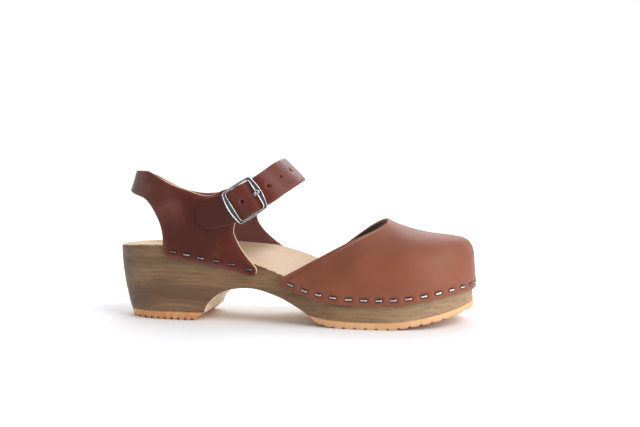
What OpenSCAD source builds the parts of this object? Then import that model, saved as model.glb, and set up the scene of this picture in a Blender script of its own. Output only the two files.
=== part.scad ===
// Wooden clog with a closed toe, an open waist and a buckled ankle strap (right shoe).
// +X runs to the toe, +Y to the inner side of the foot, +Z up. All sizes in millimetres.

/* [Sole] */
// Length of the shoe from the back of the heel to the toe
shoe_length = 250; // [220:1:280]
// Width of the wood across the ball of the foot
ball_width = 92; // [80:1:100]
// Height of the rim of the footbed at the back of the heel
heel_height = 52; // [40:1:60]
// Thickness of the rubber under the heel
heel_rubber = 5.5; // [4:0.5:8]
// Number of teeth across the heel rubber
heel_teeth = 10; // [6:1:12]
// Depth of the hollow that holds the heel
heel_cup = 5; // [2:0.5:8]

/* [Leather] */
// Thickness of the leather of the vamp and the heel quarter
leather = 2.4; // [1.6:0.1:3]
// Thickness of the lining in the vamp
lining = 0.8; // [0.6:0.1:1.2]
// Space left between the leather and the wood
fit_gap = 0.3; // [0.1:0.05:0.5]

/* [Ankle strap] */
// Width of the strap
strap_width = 21; // [16:1:24]
// Thickness of the strap
strap_thick = 2; // [1.5:0.1:3]
// Diameter of the punched holes
hole_d = 3; // [2:0.5:4]

/* [Buckle] */
// Inner length of the frame along the strap
frame_in = 18.4; // [15:0.1:20]
// Inner height of the frame across the strap
frame_across = 22; // [18:0.5:26]
// Diameter of the centre bar
bar_d = 2; // [1.6:0.1:3]
// Steepness of the strap at the buckle, in degrees above the floor
strap_tilt = 32.4; // [20:0.1:45]

/* [Staples] */
// Length of the crown of a staple
crown = 5; // [4:0.5:7]
// Diameter of the staple wire
wire_d = 1.1; // [0.8:0.1:1.4]
// Distance from one vamp staple to the next
staple_pitch = 10.1; // [9:0.1:14]

/* [Hidden] */

sx = shoe_length / 250;
sy = ball_width / 92;
sz = heel_height / 52;
middle = [124.82, -0.93, 0];         // centre of the shoe's footprint
wood_c = [0.62, 0.47, 0.30];
rubber_c = [0.82, 0.55, 0.30];
tan_c = [0.60, 0.33, 0.20];
brown_c = [0.42, 0.19, 0.14];
metal_c = [0.55, 0.54, 0.53];

// Outline of the wood seen from above, outer side and inner side, heel to toe.
outer_side = [[-2, -3], [0, -12], [7.5, -21.5], [23, -29], [45, -32], [72, -32.1], [100, -32.2],
    [130, -37.5], [160, -44.5], [190, -46.5], [211.5, -43.7], [228.3, -36], [240.5, -23.3],
    [247.1, -6.9]];
inner_side = [[-2, 3], [0, 12], [7.5, 21.5], [23, 28.5], [45, 30.5], [72, 29], [100, 28.5],
    [130, 34], [160, 41], [190, 44.5], [211.7, 43.2], [228.6, 37.1], [240.7, 25.9],
    [247.1, 10.6]];
outline = concat(outer_side, [for (i = [13 : -1 : 0]) inner_side[i]]);

// Heights along the shoe: rim on each side, hollow of the footbed, edge of the vamp.
rim_outer = [[0, 51.5], [30, 52.8], [60, 51.2], [90, 44.8], [108, 38.6], [125, 32.6], [140, 28.5],
    [165, 25.5], [195, 25.5], [220, 28.5], [250, 34]];
rim_inner = [[0, 51.5], [30, 51.8], [60, 51.6], [90, 50.2], [108, 48.2], [126, 42.6], [142, 36],
    [165, 29.5], [195, 27.5], [220, 29.5], [250, 34]];
cup_depth = [[0, 0.5], [14, heel_cup * 0.8], [35, heel_cup], [80, 3], [120, 2.5], [180, 2],
    [235, 1.5], [250, 0.3]];
vamp_low_outer = [[112, 34], [118, 30.5], [122, 27], [128, 23.6], [140, 19.5], [160, 16.3],
    [181, 15.5], [200, 16.2], [218, 18.8], [236, 22.2], [251, 24]];
vamp_low_inner = [[112, 43], [118, 39.5], [122, 35.5], [128, 31.5], [140, 26], [160, 19.5],
    [181, 17], [200, 17], [218, 19], [236, 22.2], [251, 24]];

// Side view of the wood's underside: heel breast, arch, tread face and toe spring.
arch = [[65, 5.5], [66.3, 9.5], [69, 13.2], [74, 17.6], [80, 20.8], [88, 22.9], [98, 23.3],
    [107, 21.8], [119, 17.9], [130, 12.6], [139, 7.2]];
tread_face = [[139, 7.2], [150, 5.4], [165, 4.6], [190, 4.5], [203, 5.5], [215, 7.4],
    [228, 10], [240, 12.9], [252, 15.6]];
ground_face = [[139, 7], [142.5, 4], [149, 1.2], [157, 0], [165, 0], [193, 0], [203, 1.2],
    [215, 3.2], [228, 5.8], [240, 8.8], [252, 11.4]];

// Ridge of the vamp from the throat to the toe box.
vamp_ridge = [[190, 70.3], [199, 66.4], [208, 63.3], [219, 60.5], [231, 58.7]];

// Wall of the heel quarter seen from above, at heights wall_z[0] and wall_z[1].
wall_z = [40, 97];
wall_low = [[114, -33.4], [98, -32.7], [78, -32.4], [58, -32.4], [40, -31.9], [22, -27.5],
    [5, -20], [-8, -10], [-12, 0], [-8, 10], [5, 20], [22, 27.5], [40, 31], [58, 30.7],
    [78, 29.6], [98, 29.3], [114, 31]];
wall_high = [[114, -32.4], [98, -32.4], [78, -32.4], [58, -32.4], [40, -31.6], [26, -27],
    [16, -19.5], [11, -10], [9.5, 0], [11, 10], [16, 19.5], [26, 27], [40, 30.8], [58, 31.2],
    [78, 31.4], [98, 31.4], [114, 31.4]];

// Side view of the heel quarter on each side of the foot.
quarter_outer = [[-20, 104.2], [9, 104], [24, 103.6], [27.5, 102.9], [34.6, 99.4], [45.3, 93.9],
    [55.9, 90.2], [63, 87.8], [69.5, 86.6], [75, 88], [80, 90.4], [84.2, 91.4], [87.2, 89],
    [91, 84.4], [94.2, 79.2], [94, 75.4], [90.6, 71.6], [88.2, 67], [87.6, 62], [89.6, 56.7], [92.7, 50.9],
    [97.2, 44.8], [101.5, 39.8], [103.6, 36.6], [102.5, 33.4], [99.5, 32.8], [84.8, 36.2],
    [70.1, 39.3], [55.4, 41.8], [43.7, 43.8], [39.6, 45.2], [37.9, 49], [37.4, 58.9],
    [35.3, 67.8], [31.1, 76.1], [27.5, 81], [23, 84.8], [14, 87.5], [6, 90], [-20, 91]];
quarter_inner = [[-20, 104.2], [9, 104], [11.5, 103.4], [16, 100.9], [21, 97.2], [26, 93.8],
    [32, 90.8], [40, 88.4], [50, 87], [60, 87.8], [70, 89.4], [78, 91.4], [85, 94.2],
    [91, 95.6], [95.6, 92], [97.6, 86], [95.6, 80.5], [92.4, 76], [90, 72], [89.5, 69.2],
    [91, 65.1], [95.3, 59.4], [103.1, 52.3], [109.4, 47.5], [111.4, 44], [110, 40.4],
    [106, 39.8], [84.8, 41.6], [70.1, 42.6], [55.4, 43.4], [43.7, 44.2], [39.6, 45.4],
    [37.9, 49], [36.6, 58.9], [33.2, 67.8], [28, 75], [22, 79.6], [16, 82.8], [11, 86.4],
    [6, 90], [-20, 91]];

// Buckle place: the centre bar, and how far things stand off the quarter's outer face.
quarter_face = -34.8;
bar_at = [96.6, 83.9];
bar_off = 2.6;

// Middle line of the strap from its rounded end to its riveted end: x, y, z.
strap_line = [[52, -36.2, 70.3], [59.6, -36.2, 71.8], [67.3, -36.2, 73.5], [75, -36.8, 75.5],
    [83.3, -37.5, 77.6], [88.7, -38, 79.6], [91.5, -38.9, 81], [94.1, -40.4, 82.4],
    [96.6, -40.9, 83.9], [99.2, -40.4, 85.4], [101.8, -38.9, 86.9], [104.4, -37.8, 88.4],
    [107.1, -36.7, 90.1], [111.3, -35.2, 92.9], [115.4, -31.2, 96.4], [119.4, -23.5, 100.4],
    [122.4, -12, 103.5], [123.4, 0, 104.7], [121, 12, 104], [115, 22, 101.2],
    [107.5, 29.3, 97], [99.8, 33.6, 92.6], [93, 35, 88.6], [86.5, 35.2, 84.8],
    [80, 35, 81.2], [74, 34.8, 78], [68, 34.6, 75]];
// Direction across the strap at each of those places.
strap_turn = [-14, -14, -15, -17, -23, -31, -32, -32, -32.4, -32, -32, -33, -34, -36, -39, -42,
    -44, -45, -44, -41, -38, -35, -33, -32, -31, -30, -30];

// Smooth curve through hand-placed points, open or closed.
function cubic(a, b, c, d, u) = b + 0.5 * u * (c - a + u * (2 * a - 5 * b + 4 * c - d
    + u * (3 * (b - c) + d - a)));
function thru(p, t) = let (n = len(p), i = max(0, min(n - 2, floor(t))))
    cubic(p[max(0, i - 1)], p[i], p[i + 1], p[min(n - 1, i + 2)], t - i);
function ring(p, t) = let (n = len(p), i = floor(t))
    cubic(p[(i + n - 1) % n], p[(i + n) % n], p[(i + n + 1) % n], p[(i + n + 2) % n], t - i);
function span(x, p, i = 0) = i >= len(p) - 2 || x < p[i + 1][0] ? i : span(x, p, i + 1);
function slope(p, i) = let (a = max(0, i - 1), b = min(len(p) - 1, i + 1))
    (p[b][1] - p[a][1]) / (p[b][0] - p[a][0]);
function level(x, p) = let (i = span(x, p), w = p[i + 1][0] - p[i][0],
    u = max(0, min(1, (x - p[i][0]) / w)), v = 1 - u)
    p[i][1] * v * v * (1 + 2 * u) + p[i + 1][1] * u * u * (3 - 2 * u)
    + w * slope(p, i) * u * v * v - w * slope(p, i + 1) * u * u * v;
function mix(a, b, u) = a + (b - a) * u;
function unit(v) = v / norm(v);
function ease(u) = let (c = max(0, min(1, u))) c * c * (3 - 2 * c);

// Outline of the wood: point, and direction into the shoe.
last = len(outline) - 1;
function rim_xy(t) = let (p = ring(outline, t)) [p[0] * sx, p[1] * sy];
function inward(t) = let (d = unit(rim_xy(t + 0.02) - rim_xy(t - 0.02))) [-d[1], d[0]];
function inner_half(t) = t > last / 2;
function rim_z(t) = level(rim_xy(t)[0] / sx, inner_half(t) ? rim_inner : rim_outer) * sz;
// The wall tucks in below the rim at the heel and waist, and leans out round the forefoot.
tuck = 0.0016;
heel_tuck = 0.0017;
lean_out = 0.07;
forefoot_x = 128;
function wall_in(t, d) = mix(d * d * (tuck + heel_tuck * max(0, inward(t)[0])), -lean_out * d,
    ease((rim_xy(t)[0] - forefoot_x) / 40));
function wall_pt(t, z) = let (p = rim_xy(t) + inward(t) * wall_in(t, max(0, rim_z(t) - z)))
    [p[0], p[1], z];

// One slice of the wood from the outer side to the inner side, as a ring of points.
wall_steps = [-2, 5, 12, 20, 30, 40];
function wall_up(t) = [for (z = wall_steps) wall_pt(t, mix(-2, rim_z(t) - 1.6, (z + 2) / 42))];
function rim_round(t) = [for (a = [[0.25, 0.7], [0.8, 0.2], [1.7, 0]])
    let (p = rim_xy(t) + inward(t) * a[0]) [p[0], p[1], rim_z(t) - a[1]]];
function footbed(t) = let (a = rim_round(t)[2], b = rim_round(last - t)[2])
    [for (s = [1 : 13]) let (u = s / 14, p = mix(a, b, u), h = 1 - pow(abs(2 * u - 1), 3))
        [p[0], p[1], p[2] - h * level(p[0] / sx, cup_depth) * min(1, norm(b - a) / 30)]];
function turned(p) = [for (i = [len(p) - 1 : -1 : 0]) p[i]];
function slice(t) = turned(concat(wall_up(t), rim_round(t), footbed(t),
    turned(rim_round(last - t)), turned(wall_up(last - t))));

// A solid through a row of rings that all have the same number of points.
module loft(rings) {
    n = len(rings[0]);
    m = len(rings);
    polyhedron([for (r = rings) each r], concat([[for (j = [0 : n - 1]) j]],
        [for (i = [0 : m - 2], j = [0 : n - 1]) let (k = (j + 1) % n)
            each [[i * n + j, (i + 1) * n + k, i * n + k],
                [i * n + j, (i + 1) * n + j, (i + 1) * n + k]]],
        [[for (j = [n - 1 : -1 : 0]) (m - 1) * n + j]]));
}

// A shape drawn in the side view, as wide as the shoe or on one side of it.
module side_cut(y0 = -70, y1 = 70) {
    translate([0, y1, 0]) rotate([90, 0, 0]) linear_extrude(y1 - y0) children();
}

module sole_blank() loft([for (i = [0 : 60]) slice(i * 13 / 60)]);

function arch_line() = [for (i = [0 : 40]) thru(arch, i / 4)];
function ground(x) = max(0, level(x, ground_face));
function face_line(p, x0, x1, step) = [for (x = [x0 : step : x1]) [x, level(x, p)]];

module wood_sole() color(wood_c) intersection() {
    sole_blank();
    side_cut() scale([sx, 1]) polygon(concat([[-5, heel_rubber]], [[65, heel_rubber]],
        [for (p = arch_line()) if (p[1] > heel_rubber) p],
        [for (p = face_line(tread_face, 139.5, 252, 2.5)) p], [[260, 18], [260, 80], [-5, 80]]));
}

module heel_tread() color(rubber_c) intersection() {
    sole_blank();
    first = 7;
    breast = 57.5;
    pitch = (breast - first) / heel_teeth;
    side_cut() scale([sx, 1]) polygon(concat([[-5, heel_rubber], [-5, 0]],
        [for (i = [0 : heel_teeth - 1]) let (x = first + i * pitch)
            each [[x, 0], [x + pitch * 0.42, 0], [x + pitch * 0.72, 1.9]]],
        [[breast, 0], [breast + 7.1, heel_rubber]]));
}

module forefoot_tread() color(rubber_c) intersection() {
    sole_blank();
    ripple = 7.2;
    side_cut() scale([sx, 1]) polygon(concat(
        [for (i = [0 : 14]) let (x = 144 + ripple * i)
            each [[x, ground(x)], [x + 4, ground(x + 4)], [x + 5.6, ground(x + 5.6) + 1.1]]],
        [[252, 11.4]],
        turned(face_line(tread_face, 139.5, 252, 2.5))));
}

// Vamp surface. t runs round the wood's outline from the outer corner over the toe to the
// inner corner, v runs from the stapled edge (0) past the rim (0.2) to the ridge (1), and
// off is the distance in from the outer face.
vamp_t0 = 6.63;
vamp_t1 = last - vamp_t0;
inner_reach = 0.93;                  // the inner side of the vamp starts nearer the toe
toe_round = 3.5;                     // 2 gives a round section, more a squarer one
side_round = 2.3;
throat_lip = 1.4;                    // how far the outer edge of the throat flattens at its top
function foot_t(t) = inner_half(t) ? mix(last / 2, t, inner_reach) : t;
function vamp_side(t) = abs(t - last / 2) / (last / 2 - vamp_t0);
function vamp_low(t) = let (x = rim_xy(t)[0] / sx)
    level(x, inner_half(t) ? vamp_low_inner : vamp_low_outer);
function vamp_foot(t, z, off) = let (p = wall_pt(foot_t(t), z), q = inward(foot_t(t)),
    slack = (inner_half(t) ? 0.9 : 0.5) * ease((vamp_side(t) - 0.75) / 0.15))
    [p[0], p[1]] - q * (fit_gap + leather - off + slack);
toe_soft = 0.15;                     // rounds the meeting of the two sides over the toe
function ridge_side(a) = (norm([a, toe_soft]) - toe_soft) / (norm([1, toe_soft]) - toe_soft);
function ridge(t, off) = let (a = 1 - ridge_side(vamp_side(t)), p = thru(vamp_ridge, 4 * a))
    [p[0] * sx, 1.5 + 0.4 * a, p[1] - off];
function vamp_pt(t, v, off) = let (a = vamp_side(t), z0 = vamp_low(foot_t(t)),
    z1 = mix(rim_z(foot_t(t)) + 0.6, z0 + 0.6, ease((a - 0.94) / 0.06)),
    z = mix(z0, z1, min(1, v / 0.2)),
    f = vamp_foot(t, z, off), e = mix(toe_round, side_round, ease(a * 2)), s = ridge(t, off),
    w = 90 * max(0, v - 0.2) / 0.8, g = pow(sin(w), 2 / e), h = 1 - pow(cos(w), 2 / e),
    lip = inner_half(t) ? 0 : throat_lip * pow(g, 8) * (1 - g),
    m = 1 - (inner_half(t) ? 0.8 : 1) * ease(a * 1.25))
    [mix(f[0], s[0], mix(g + lip * ease(a * 1.25), h, m)), mix(f[1], s[1], h), mix(z, s[2], g)];

// A sheet laid over a ridge: rows go round the foot, columns climb to the ridge.
// rows is even; v0 is where the sheet starts above the stapled edge.
module over_ridge(t0, t1, v0, off0, off1, rows, cols) {
    half = rows / 2;
    n = (rows + 1) * cols + half + 1;
    ts = [for (k = [0 : rows]) mix(t0, t1, k / rows)];
    function sheet(off) = concat([for (k = [0 : rows], j = [0 : cols - 1])
        vamp_pt(ts[k], mix(v0, 1, j / cols), off)],
        [for (k = [0 : half]) vamp_pt(ts[k], 1, off)]);
    function id(k, j) = j < cols ? k * cols + j : (rows + 1) * cols + min(k, rows - k);
    quads = [for (k = [0 : rows - 1], j = [0 : cols - 1])
        [id(k, j), id(k + 1, j), id(k + 1, j + 1), id(k, j + 1)]];
    edge = concat([for (k = [0 : rows]) id(k, 0)], [for (j = [1 : cols]) id(rows, j)],
        [for (j = [cols - 1 : -1 : 1]) id(0, j)]);
    m = len(edge);
    function split(q) = [[q[0], q[1], q[2]], [q[0], q[2], q[3]]];
    function flat3(f) = f[0] != f[1] && f[1] != f[2] && f[0] != f[2];
    polyhedron(concat(sheet(off0), sheet(off1)), [
        for (q = quads) each [for (f = split(q)) if (flat3(f)) turned(f)],
        for (q = quads) each [for (f = split(q)) if (flat3(f)) [for (i = f) i + n]],
        for (i = [0 : m - 1]) let (a = edge[i], b = edge[(i + 1) % m])
            each [[a, b, b + n], [a, b + n, a + n]]]);
}

module vamp() color(tan_c) over_ridge(vamp_t0, vamp_t1, 0, 0, leather, 72, 15);

module vamp_lining() color([0.33, 0.28, 0.28])
    over_ridge(vamp_t0 + 0.12, vamp_t1 - 0.12, 0.27, leather + 0.35, leather + 0.35 + lining,
        54, 12);

// Standing wall of the heel quarter, thick enough for the leather, cut by its side views.
function quarter_path(u, z) = mix(thru(wall_low, u), thru(wall_high, u),
    (z - wall_z[0]) / (wall_z[1] - wall_z[0]));
function quarter_pt(u, z, out) = let (p = quarter_path(u, z),
    d = unit(quarter_path(u + 0.02, z) - quarter_path(u - 0.02, z)))
    [p[0] + d[1] * out, p[1] - d[0] * out, z];

module quarter_wall() {
    us = [for (i = [0 : 88]) i * 16 / 88];
    loft([for (z = [26 : 8 : 106]) concat([for (u = us) quarter_pt(u, z, 0)],
        turned([for (u = us) quarter_pt(u, z, -leather)]))]);
}

module quarter_side(p, y0, y1) side_cut(y0, y1)
    polygon([for (i = [0 : 2 * len(p) - 1]) ring(p, i / 2)]);

module heel_quarter() color(brown_c) intersection() {
    quarter_wall();
    union() {
        quarter_side(quarter_outer, -60, 0);
        quarter_side(quarter_inner, 0, 60);
    }
}

// Strap: t counts along strap_line; half width shrinks to nothing at the rounded end.
strap_t0 = 1.35;                     // rounded end
strap_cut = 12.55;                   // end of the part that goes through the buckle
strap_fold = 21.35;                  // fold in front of the rivets
strap_t1 = 25.3;                     // square end under the rivets
function strap_mid(t) = thru(strap_line, t);
function strap_across(t) = let (a = thru([for (w = strap_turn) [w, 0]], t)[0])
    unit([-sin(a), t > 20 ? -0.04 : 0, -cos(a)]);
function strap_along(t) = unit(strap_mid(t + 0.05) - strap_mid(t - 0.05));
function strap_out(t) = unit(cross(strap_across(t), strap_along(t)));
function strap_half(t) = let (s = (t - strap_t0) * 7.8 / 10)
    strap_width / 2 * (s < 1 ? sqrt(max(0.02, 1 - pow(1 - s, 2))) : 1);
function strap_ring(t) = let (c = strap_mid(t), w = strap_across(t), o = strap_out(t),
    h = strap_half(t), r = strap_thick / 2)
    [for (q = [[-h, r - 0.4], [0.4 - h, r], [h - 0.4, r], [h, r - 0.4], [h, 0.4 - r],
        [h - 0.4, -r], [0.4 - h, -r], [-h, 0.4 - r]]) c + w * q[0] + o * q[1]];

module strap_piece(t0, t1, n) {
    loft([for (i = [0 : n]) strap_ring(mix(t0, t1, i / n))]);
}

// Punch or peg that stands across the strap at t, reaching from a to b off its middle.
module at_strap(t) {
    c = strap_mid(t);
    o = strap_out(t);
    w = strap_across(t);
    l = cross(w, o);
    multmatrix([[l[0], w[0], o[0], c[0]], [l[1], w[1], o[1], c[1]], [l[2], w[2], o[2], c[2]]])
        children();
}
module punch(t, d = hole_d) at_strap(t) cylinder(h = 8, d = d, center = true, $fn = 32);

module strap_end() color(brown_c) difference() {
    strap_piece(strap_t0, strap_cut, 64);
    for (t = [7.35, 10.6]) punch(t);
}

module ankle_strap() color(brown_c) difference() {
    strap_piece(strap_cut, strap_fold, 44);
    for (t = [13.15, 14.75, 16]) punch(t);
}

rivets_at = [22.6, 24.3];
module strap_anchor() color(brown_c) difference() {
    strap_piece(strap_fold + 0.1, strap_t1, 16);
    for (t = rivets_at) punch(t, 2.6);
}

// Two rivets hold the strap on the inner quarter; each has a cap on the inside.
rivet_reach = 4.9;
module strap_rivets() color(metal_c) for (t = rivets_at) at_strap(t) {
    translate([0, 0, -rivet_reach]) cylinder(h = rivet_reach + 1.2, d = 2.4, $fn = 32);
    translate([0, 0, 1.05]) cylinder(h = 0.9, d1 = 7, d2 = 5.6, $fn = 40);
}
module strap_rivet_caps() color(metal_c) for (t = rivets_at) at_strap(t)
    translate([0, 0, -rivet_reach - 0.4]) difference() {
        cylinder(h = 0.8, d1 = 5, d2 = 6.4, $fn = 40);
        translate([0, 0, 0.5]) cylinder(h = 2, d = 2.5, $fn = 32);
    }

// Buckle axes: x along the strap, y across it, z away from the foot, zero at the bar.
module at_buckle() translate([bar_at[0], quarter_face - bar_off, bar_at[1]])
    rotate([0, -strap_tilt, 0]) rotate([90, 0, 0]) children();

rail = 1.7;                          // width of the frame's long sides
bow = 4;                             // width of its ends, at their middles
end_round = 36;                      // radius of the curve of its ends
rail_round = 105;                    // radius of the curve of its long sides
frame_z = 1.8;                       // height of its underside over the bar
frame_t = 1.5;
eye_r = 1.9;                         // eyes that hold the bar, one under each long side
eye_t = 1.3;
half_l = frame_in / 2;
half_w = frame_across / 2;
module rounded(l, w, r) offset(r = r, $fn = 48) square([l - 2 * r, w - 2 * r], center = true);
module frame_plan() difference() {
    intersection() {
        rounded(2 * (half_l + bow), 2 * (half_w + rail), 5);
        intersection_for (s = [-1, 1]) translate([s * (end_round - half_l - bow), 0])
            circle(r = end_round, $fn = 160);
        intersection_for (s = [-1, 1]) translate([0, s * (rail_round - half_w - rail)])
            circle(r = rail_round, $fn = 400);
    }
    rounded(frame_in, frame_across, 2.5);
}
module buckle_frame() color(metal_c) at_buckle() {
    translate([0, 0, frame_z]) linear_extrude(frame_t) frame_plan();
    for (s = [-1, 1]) translate([0, s * (half_w + 0.45), 0]) rotate([90, 0, 0])
        difference() {
            union() {
                cylinder(h = eye_t, r = eye_r, center = true, $fn = 48);
                translate([-eye_r, 0, -eye_t / 2]) cube([2 * eye_r, frame_z + 0.6, eye_t]);
            }
            cylinder(h = 3, d = bar_d + 0.04, center = true, $fn = 48);
        }
}
module buckle_bar() color(metal_c) at_buckle() rotate([90, 0, 0])
    cylinder(h = frame_across + 1.9, d = bar_d, center = true, $fn = 48);

// The prong runs under the strap, comes up through a hole and rests on the frame.
prong_path = [[4.2, 0.2], [5.6, -0.35], [6.9, -0.6], [7.7, 0.3], [8, 2.3], [8.6, 3.95],
    [10.4, 4.05]];
prong_w = 1.5;
module buckle_prong() color(metal_c) at_buckle() {
    rotate([90, 0, 0]) difference() {
        union() {
            cylinder(h = 2.4, r = eye_r, center = true, $fn = 48);
            translate([0, -0.4, -prong_w / 2]) cube([4.2, 1.1, prong_w]);
        }
        cylinder(h = 4, r = bar_d / 2 + 0.08, center = true, $fn = 48);
    }
    for (i = [0 : len(prong_path) - 2]) hull() for (p = [prong_path[i], prong_path[i + 1]])
        translate([p[0], 0, p[1]]) rotate([90, 0, 0])
            cylinder(h = prong_w, r = 0.6, center = true, $fn = 20);
    translate([10.4, 0, 3.4]) cylinder(h = 1.5, r = 1.9, $fn = 36);
}

// Leather tab: clasps the tip of the outer quarter and loops round the bar.
tab_w = 16;
tab_side = [[0, 2.2], [-2.6, 0.9], [-5, -1.25], [-16, -1.25], [-16, -2.4], [-3.5, -2.4],
    [-3.5, -5.2], [-16, -5.2], [-16, -6.3], [-3.5, -6.3], [2.1, -0.6]];
module at_tab_rivets() at_buckle() for (s = [-1, 1]) translate([-12, 4.4 * s, 0]) children();
module buckle_tab() color(brown_c) difference() {
    at_buckle() rotate([90, 0, 0]) linear_extrude(tab_w, center = true) difference() {
        union() {
            circle(r = bar_d / 2 + 1.25, $fn = 48);
            polygon(tab_side);
        }
        circle(r = bar_d / 2 + 0.15, $fn = 48);
    }
    at_buckle() translate([-3.3, -1.6, -8]) cube([8, 3.2, 14]);
    at_tab_rivets() cylinder(h = 20, d = 2.2, center = true, $fn = 32);
}
module tab_rivets() color(metal_c) at_tab_rivets() {
    translate([0, 0, -6.2]) cylinder(h = 4.6, d = 2, $fn = 32);
    translate([0, 0, -1.75]) cylinder(h = 0.5, d1 = 4, d2 = 4.6, $fn = 36);
}
module tab_rivet_caps() color(metal_c) at_tab_rivets() translate([0, 0, -6.9]) difference() {
    cylinder(h = 0.7, d1 = 3.8, d2 = 4.8, $fn = 36);
    translate([0, 0, 0.55]) cylinder(h = 2, d = 2.1, $fn = 32);
}

// A staple: crown across the leather's edge and two legs into the wood.
// at is the middle of its crown, along the edge's direction, into the direction of the legs.
module staple(at, along, into) {
    up = cross(into, along);
    leg = 7;
    multmatrix([[along[0], up[0], into[0], at[0]], [along[1], up[1], into[1], at[1]],
        [along[2], up[2], into[2], at[2]]]) {
        rotate([0, 90, 0]) cylinder(h = crown, d = wire_d, center = true, $fn = 20);
        for (s = [-1, 1]) translate([s * (crown - wire_d) / 2, 0, 0])
            cylinder(h = leg, d = wire_d * 0.9, $fn = 16);
    }
}
function walk(t, step, n) = n <= 0 ? t
    : walk(t + step / norm(rim_xy(foot_t(t + 0.01)) - rim_xy(foot_t(t - 0.01))) * 0.02,
        step, n - 1);
staple_inset = 3.9;                  // from the leather's edge to the staples
function vamp_edge(t) = vamp_pt(t, 0, 0.1) + [0, 0, staple_inset];
module vamp_staple(t) {
    a = unit(vamp_edge(t + 0.03) - vamp_edge(t - 0.03));
    staple(vamp_edge(t), a, unit(cross(a, [0, 0, 1])) * -1);
}
first_staple = vamp_t0 + 0.3;
outer_count = 13;
toe_count = 4;
inner_count = 12;
module vamp_staple_run(first, count) for (i = [first : first + count - 1])
    vamp_staple(walk(first_staple, staple_pitch, i));
module vamp_staples_lateral() color(metal_c) vamp_staple_run(0, outer_count);
module vamp_staples_toe() color(metal_c) vamp_staple_run(outer_count, toe_count);
module vamp_staples_medial() color(metal_c)
    vamp_staple_run(outer_count + toe_count, inner_count);

// Staples of the heel quarter: the places along its edge in the side view.
quarter_spots = [[43.5, 48.2], [54, 46.2], [64.3, 44.1], [74.8, 42.3], [85.8, 40.1], [98, 36.9]];
quarter_spots_inner = [[43.5, 48.6], [55.5, 47.8], [67.5, 46.9], [79.5, 46.2], [91.5, 45.4],
    [104.5, 44.3]];
// u is the wall's point at x = 98 and s the side: -1 outer, 1 inner. Its points are 20 apart.
module quarter_row(spots, u, s) for (q = spots) {
    at = u - s * (98 - q[0]) / 20;
    a = quarter_pt(at, q[1], -leather + 0.1);
    b = quarter_pt(at + 0.1 * s, q[1] - 0.35, -leather + 0.1);
    along = unit(b - a);
    into = [0, -s, 0];
    staple(a, along * s, into - along * (into * along));
}
module quarter_staples_lateral() color(metal_c) quarter_row(quarter_spots, 1, -1);
module quarter_staples_medial() color(metal_c) quarter_row(quarter_spots_inner, 15, 1);

module placed() translate(-middle) children();

placed() wood_sole();
placed() heel_tread();
placed() forefoot_tread();
placed() vamp();
placed() vamp_lining();
placed() heel_quarter();
placed() strap_anchor();
placed() ankle_strap();
placed() strap_end();
placed() strap_rivets();
placed() strap_rivet_caps();
placed() buckle_frame();
placed() buckle_bar();
placed() buckle_prong();
placed() buckle_tab();
placed() tab_rivets();
placed() tab_rivet_caps();
placed() vamp_staples_lateral();
placed() vamp_staples_toe();
placed() vamp_staples_medial();
placed() quarter_staples_lateral();
placed() quarter_staples_medial();
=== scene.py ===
import math

import bmesh
import bpy
import numpy as np
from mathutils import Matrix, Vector
from mathutils.geometry import delaunay_2d_cdt


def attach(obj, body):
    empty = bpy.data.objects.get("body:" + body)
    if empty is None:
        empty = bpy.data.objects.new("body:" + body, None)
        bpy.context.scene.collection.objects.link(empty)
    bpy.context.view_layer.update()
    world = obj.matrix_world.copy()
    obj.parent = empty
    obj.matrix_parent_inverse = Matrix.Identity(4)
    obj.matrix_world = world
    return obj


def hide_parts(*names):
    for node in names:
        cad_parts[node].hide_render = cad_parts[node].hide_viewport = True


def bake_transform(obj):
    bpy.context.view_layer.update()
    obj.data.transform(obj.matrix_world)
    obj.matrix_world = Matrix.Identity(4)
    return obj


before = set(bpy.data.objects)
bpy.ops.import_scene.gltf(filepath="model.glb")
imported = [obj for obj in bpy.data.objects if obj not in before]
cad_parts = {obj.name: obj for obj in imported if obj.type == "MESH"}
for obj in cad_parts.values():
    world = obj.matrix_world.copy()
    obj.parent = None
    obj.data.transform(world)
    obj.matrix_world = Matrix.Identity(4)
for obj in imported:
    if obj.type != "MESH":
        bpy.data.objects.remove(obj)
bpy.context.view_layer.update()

# Everything below is drawn in millimetres with the back of the heel near x = 0 and is moved to
# the frame's middle and into metres when a mesh is made. +X toe, +Y inner side, +Z up.
MIDDLE = np.array([124.82, -0.93, 0.0])
MM = 0.001
LEATHER, LINING = 2.4, 0.8    # thicknesses
FIT_GAP = 0.3                 # between the wood and the leather over it

# The wood from above, (x, y), from the heel to the toe on either side.
OUTER_SIDE = [(-2, -3), (0, -12), (7.5, -21.5), (23, -29), (45, -32), (72, -32.1), (100, -32.2),
              (130, -37.5), (160, -44.5), (190, -46.5), (211.5, -43.7), (228.3, -36),
              (240.5, -23.3), (247.1, -6.9)]
INNER_SIDE = [(-2, 3), (0, 12), (7.5, 21.5), (23, 28.5), (45, 30.5), (72, 29), (100, 28.5),
              (130, 34), (160, 41), (190, 44.5), (211.7, 43.2), (228.6, 37.1),
              (240.7, 25.9), (247.1, 10.6)]
OUTLINE = np.array(OUTER_SIDE + INNER_SIDE[::-1], float)
LAST = len(OUTLINE) - 1
# Side views, (x, z): the footbed's rim on either side, and how deep the footbed is hollowed.
RIM_OUTER = [(0, 51.5), (30, 52.8), (60, 51.2), (90, 44.8), (108, 38.6), (125, 32.6), (140, 28.5),
             (165, 25.5), (195, 25.5), (220, 28.5), (250, 34)]
RIM_INNER = [(0, 51.5), (30, 51.8), (60, 51.6), (90, 50.2), (108, 48.2), (126, 42.6), (142, 36),
             (165, 29.5), (195, 27.5), (220, 29.5), (250, 34)]
CUP_DEPTH = [(0, 0.5), (14, 4), (35, 5), (80, 3), (120, 2.5), (180, 2), (235, 1.5), (250, 0.3)]
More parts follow.
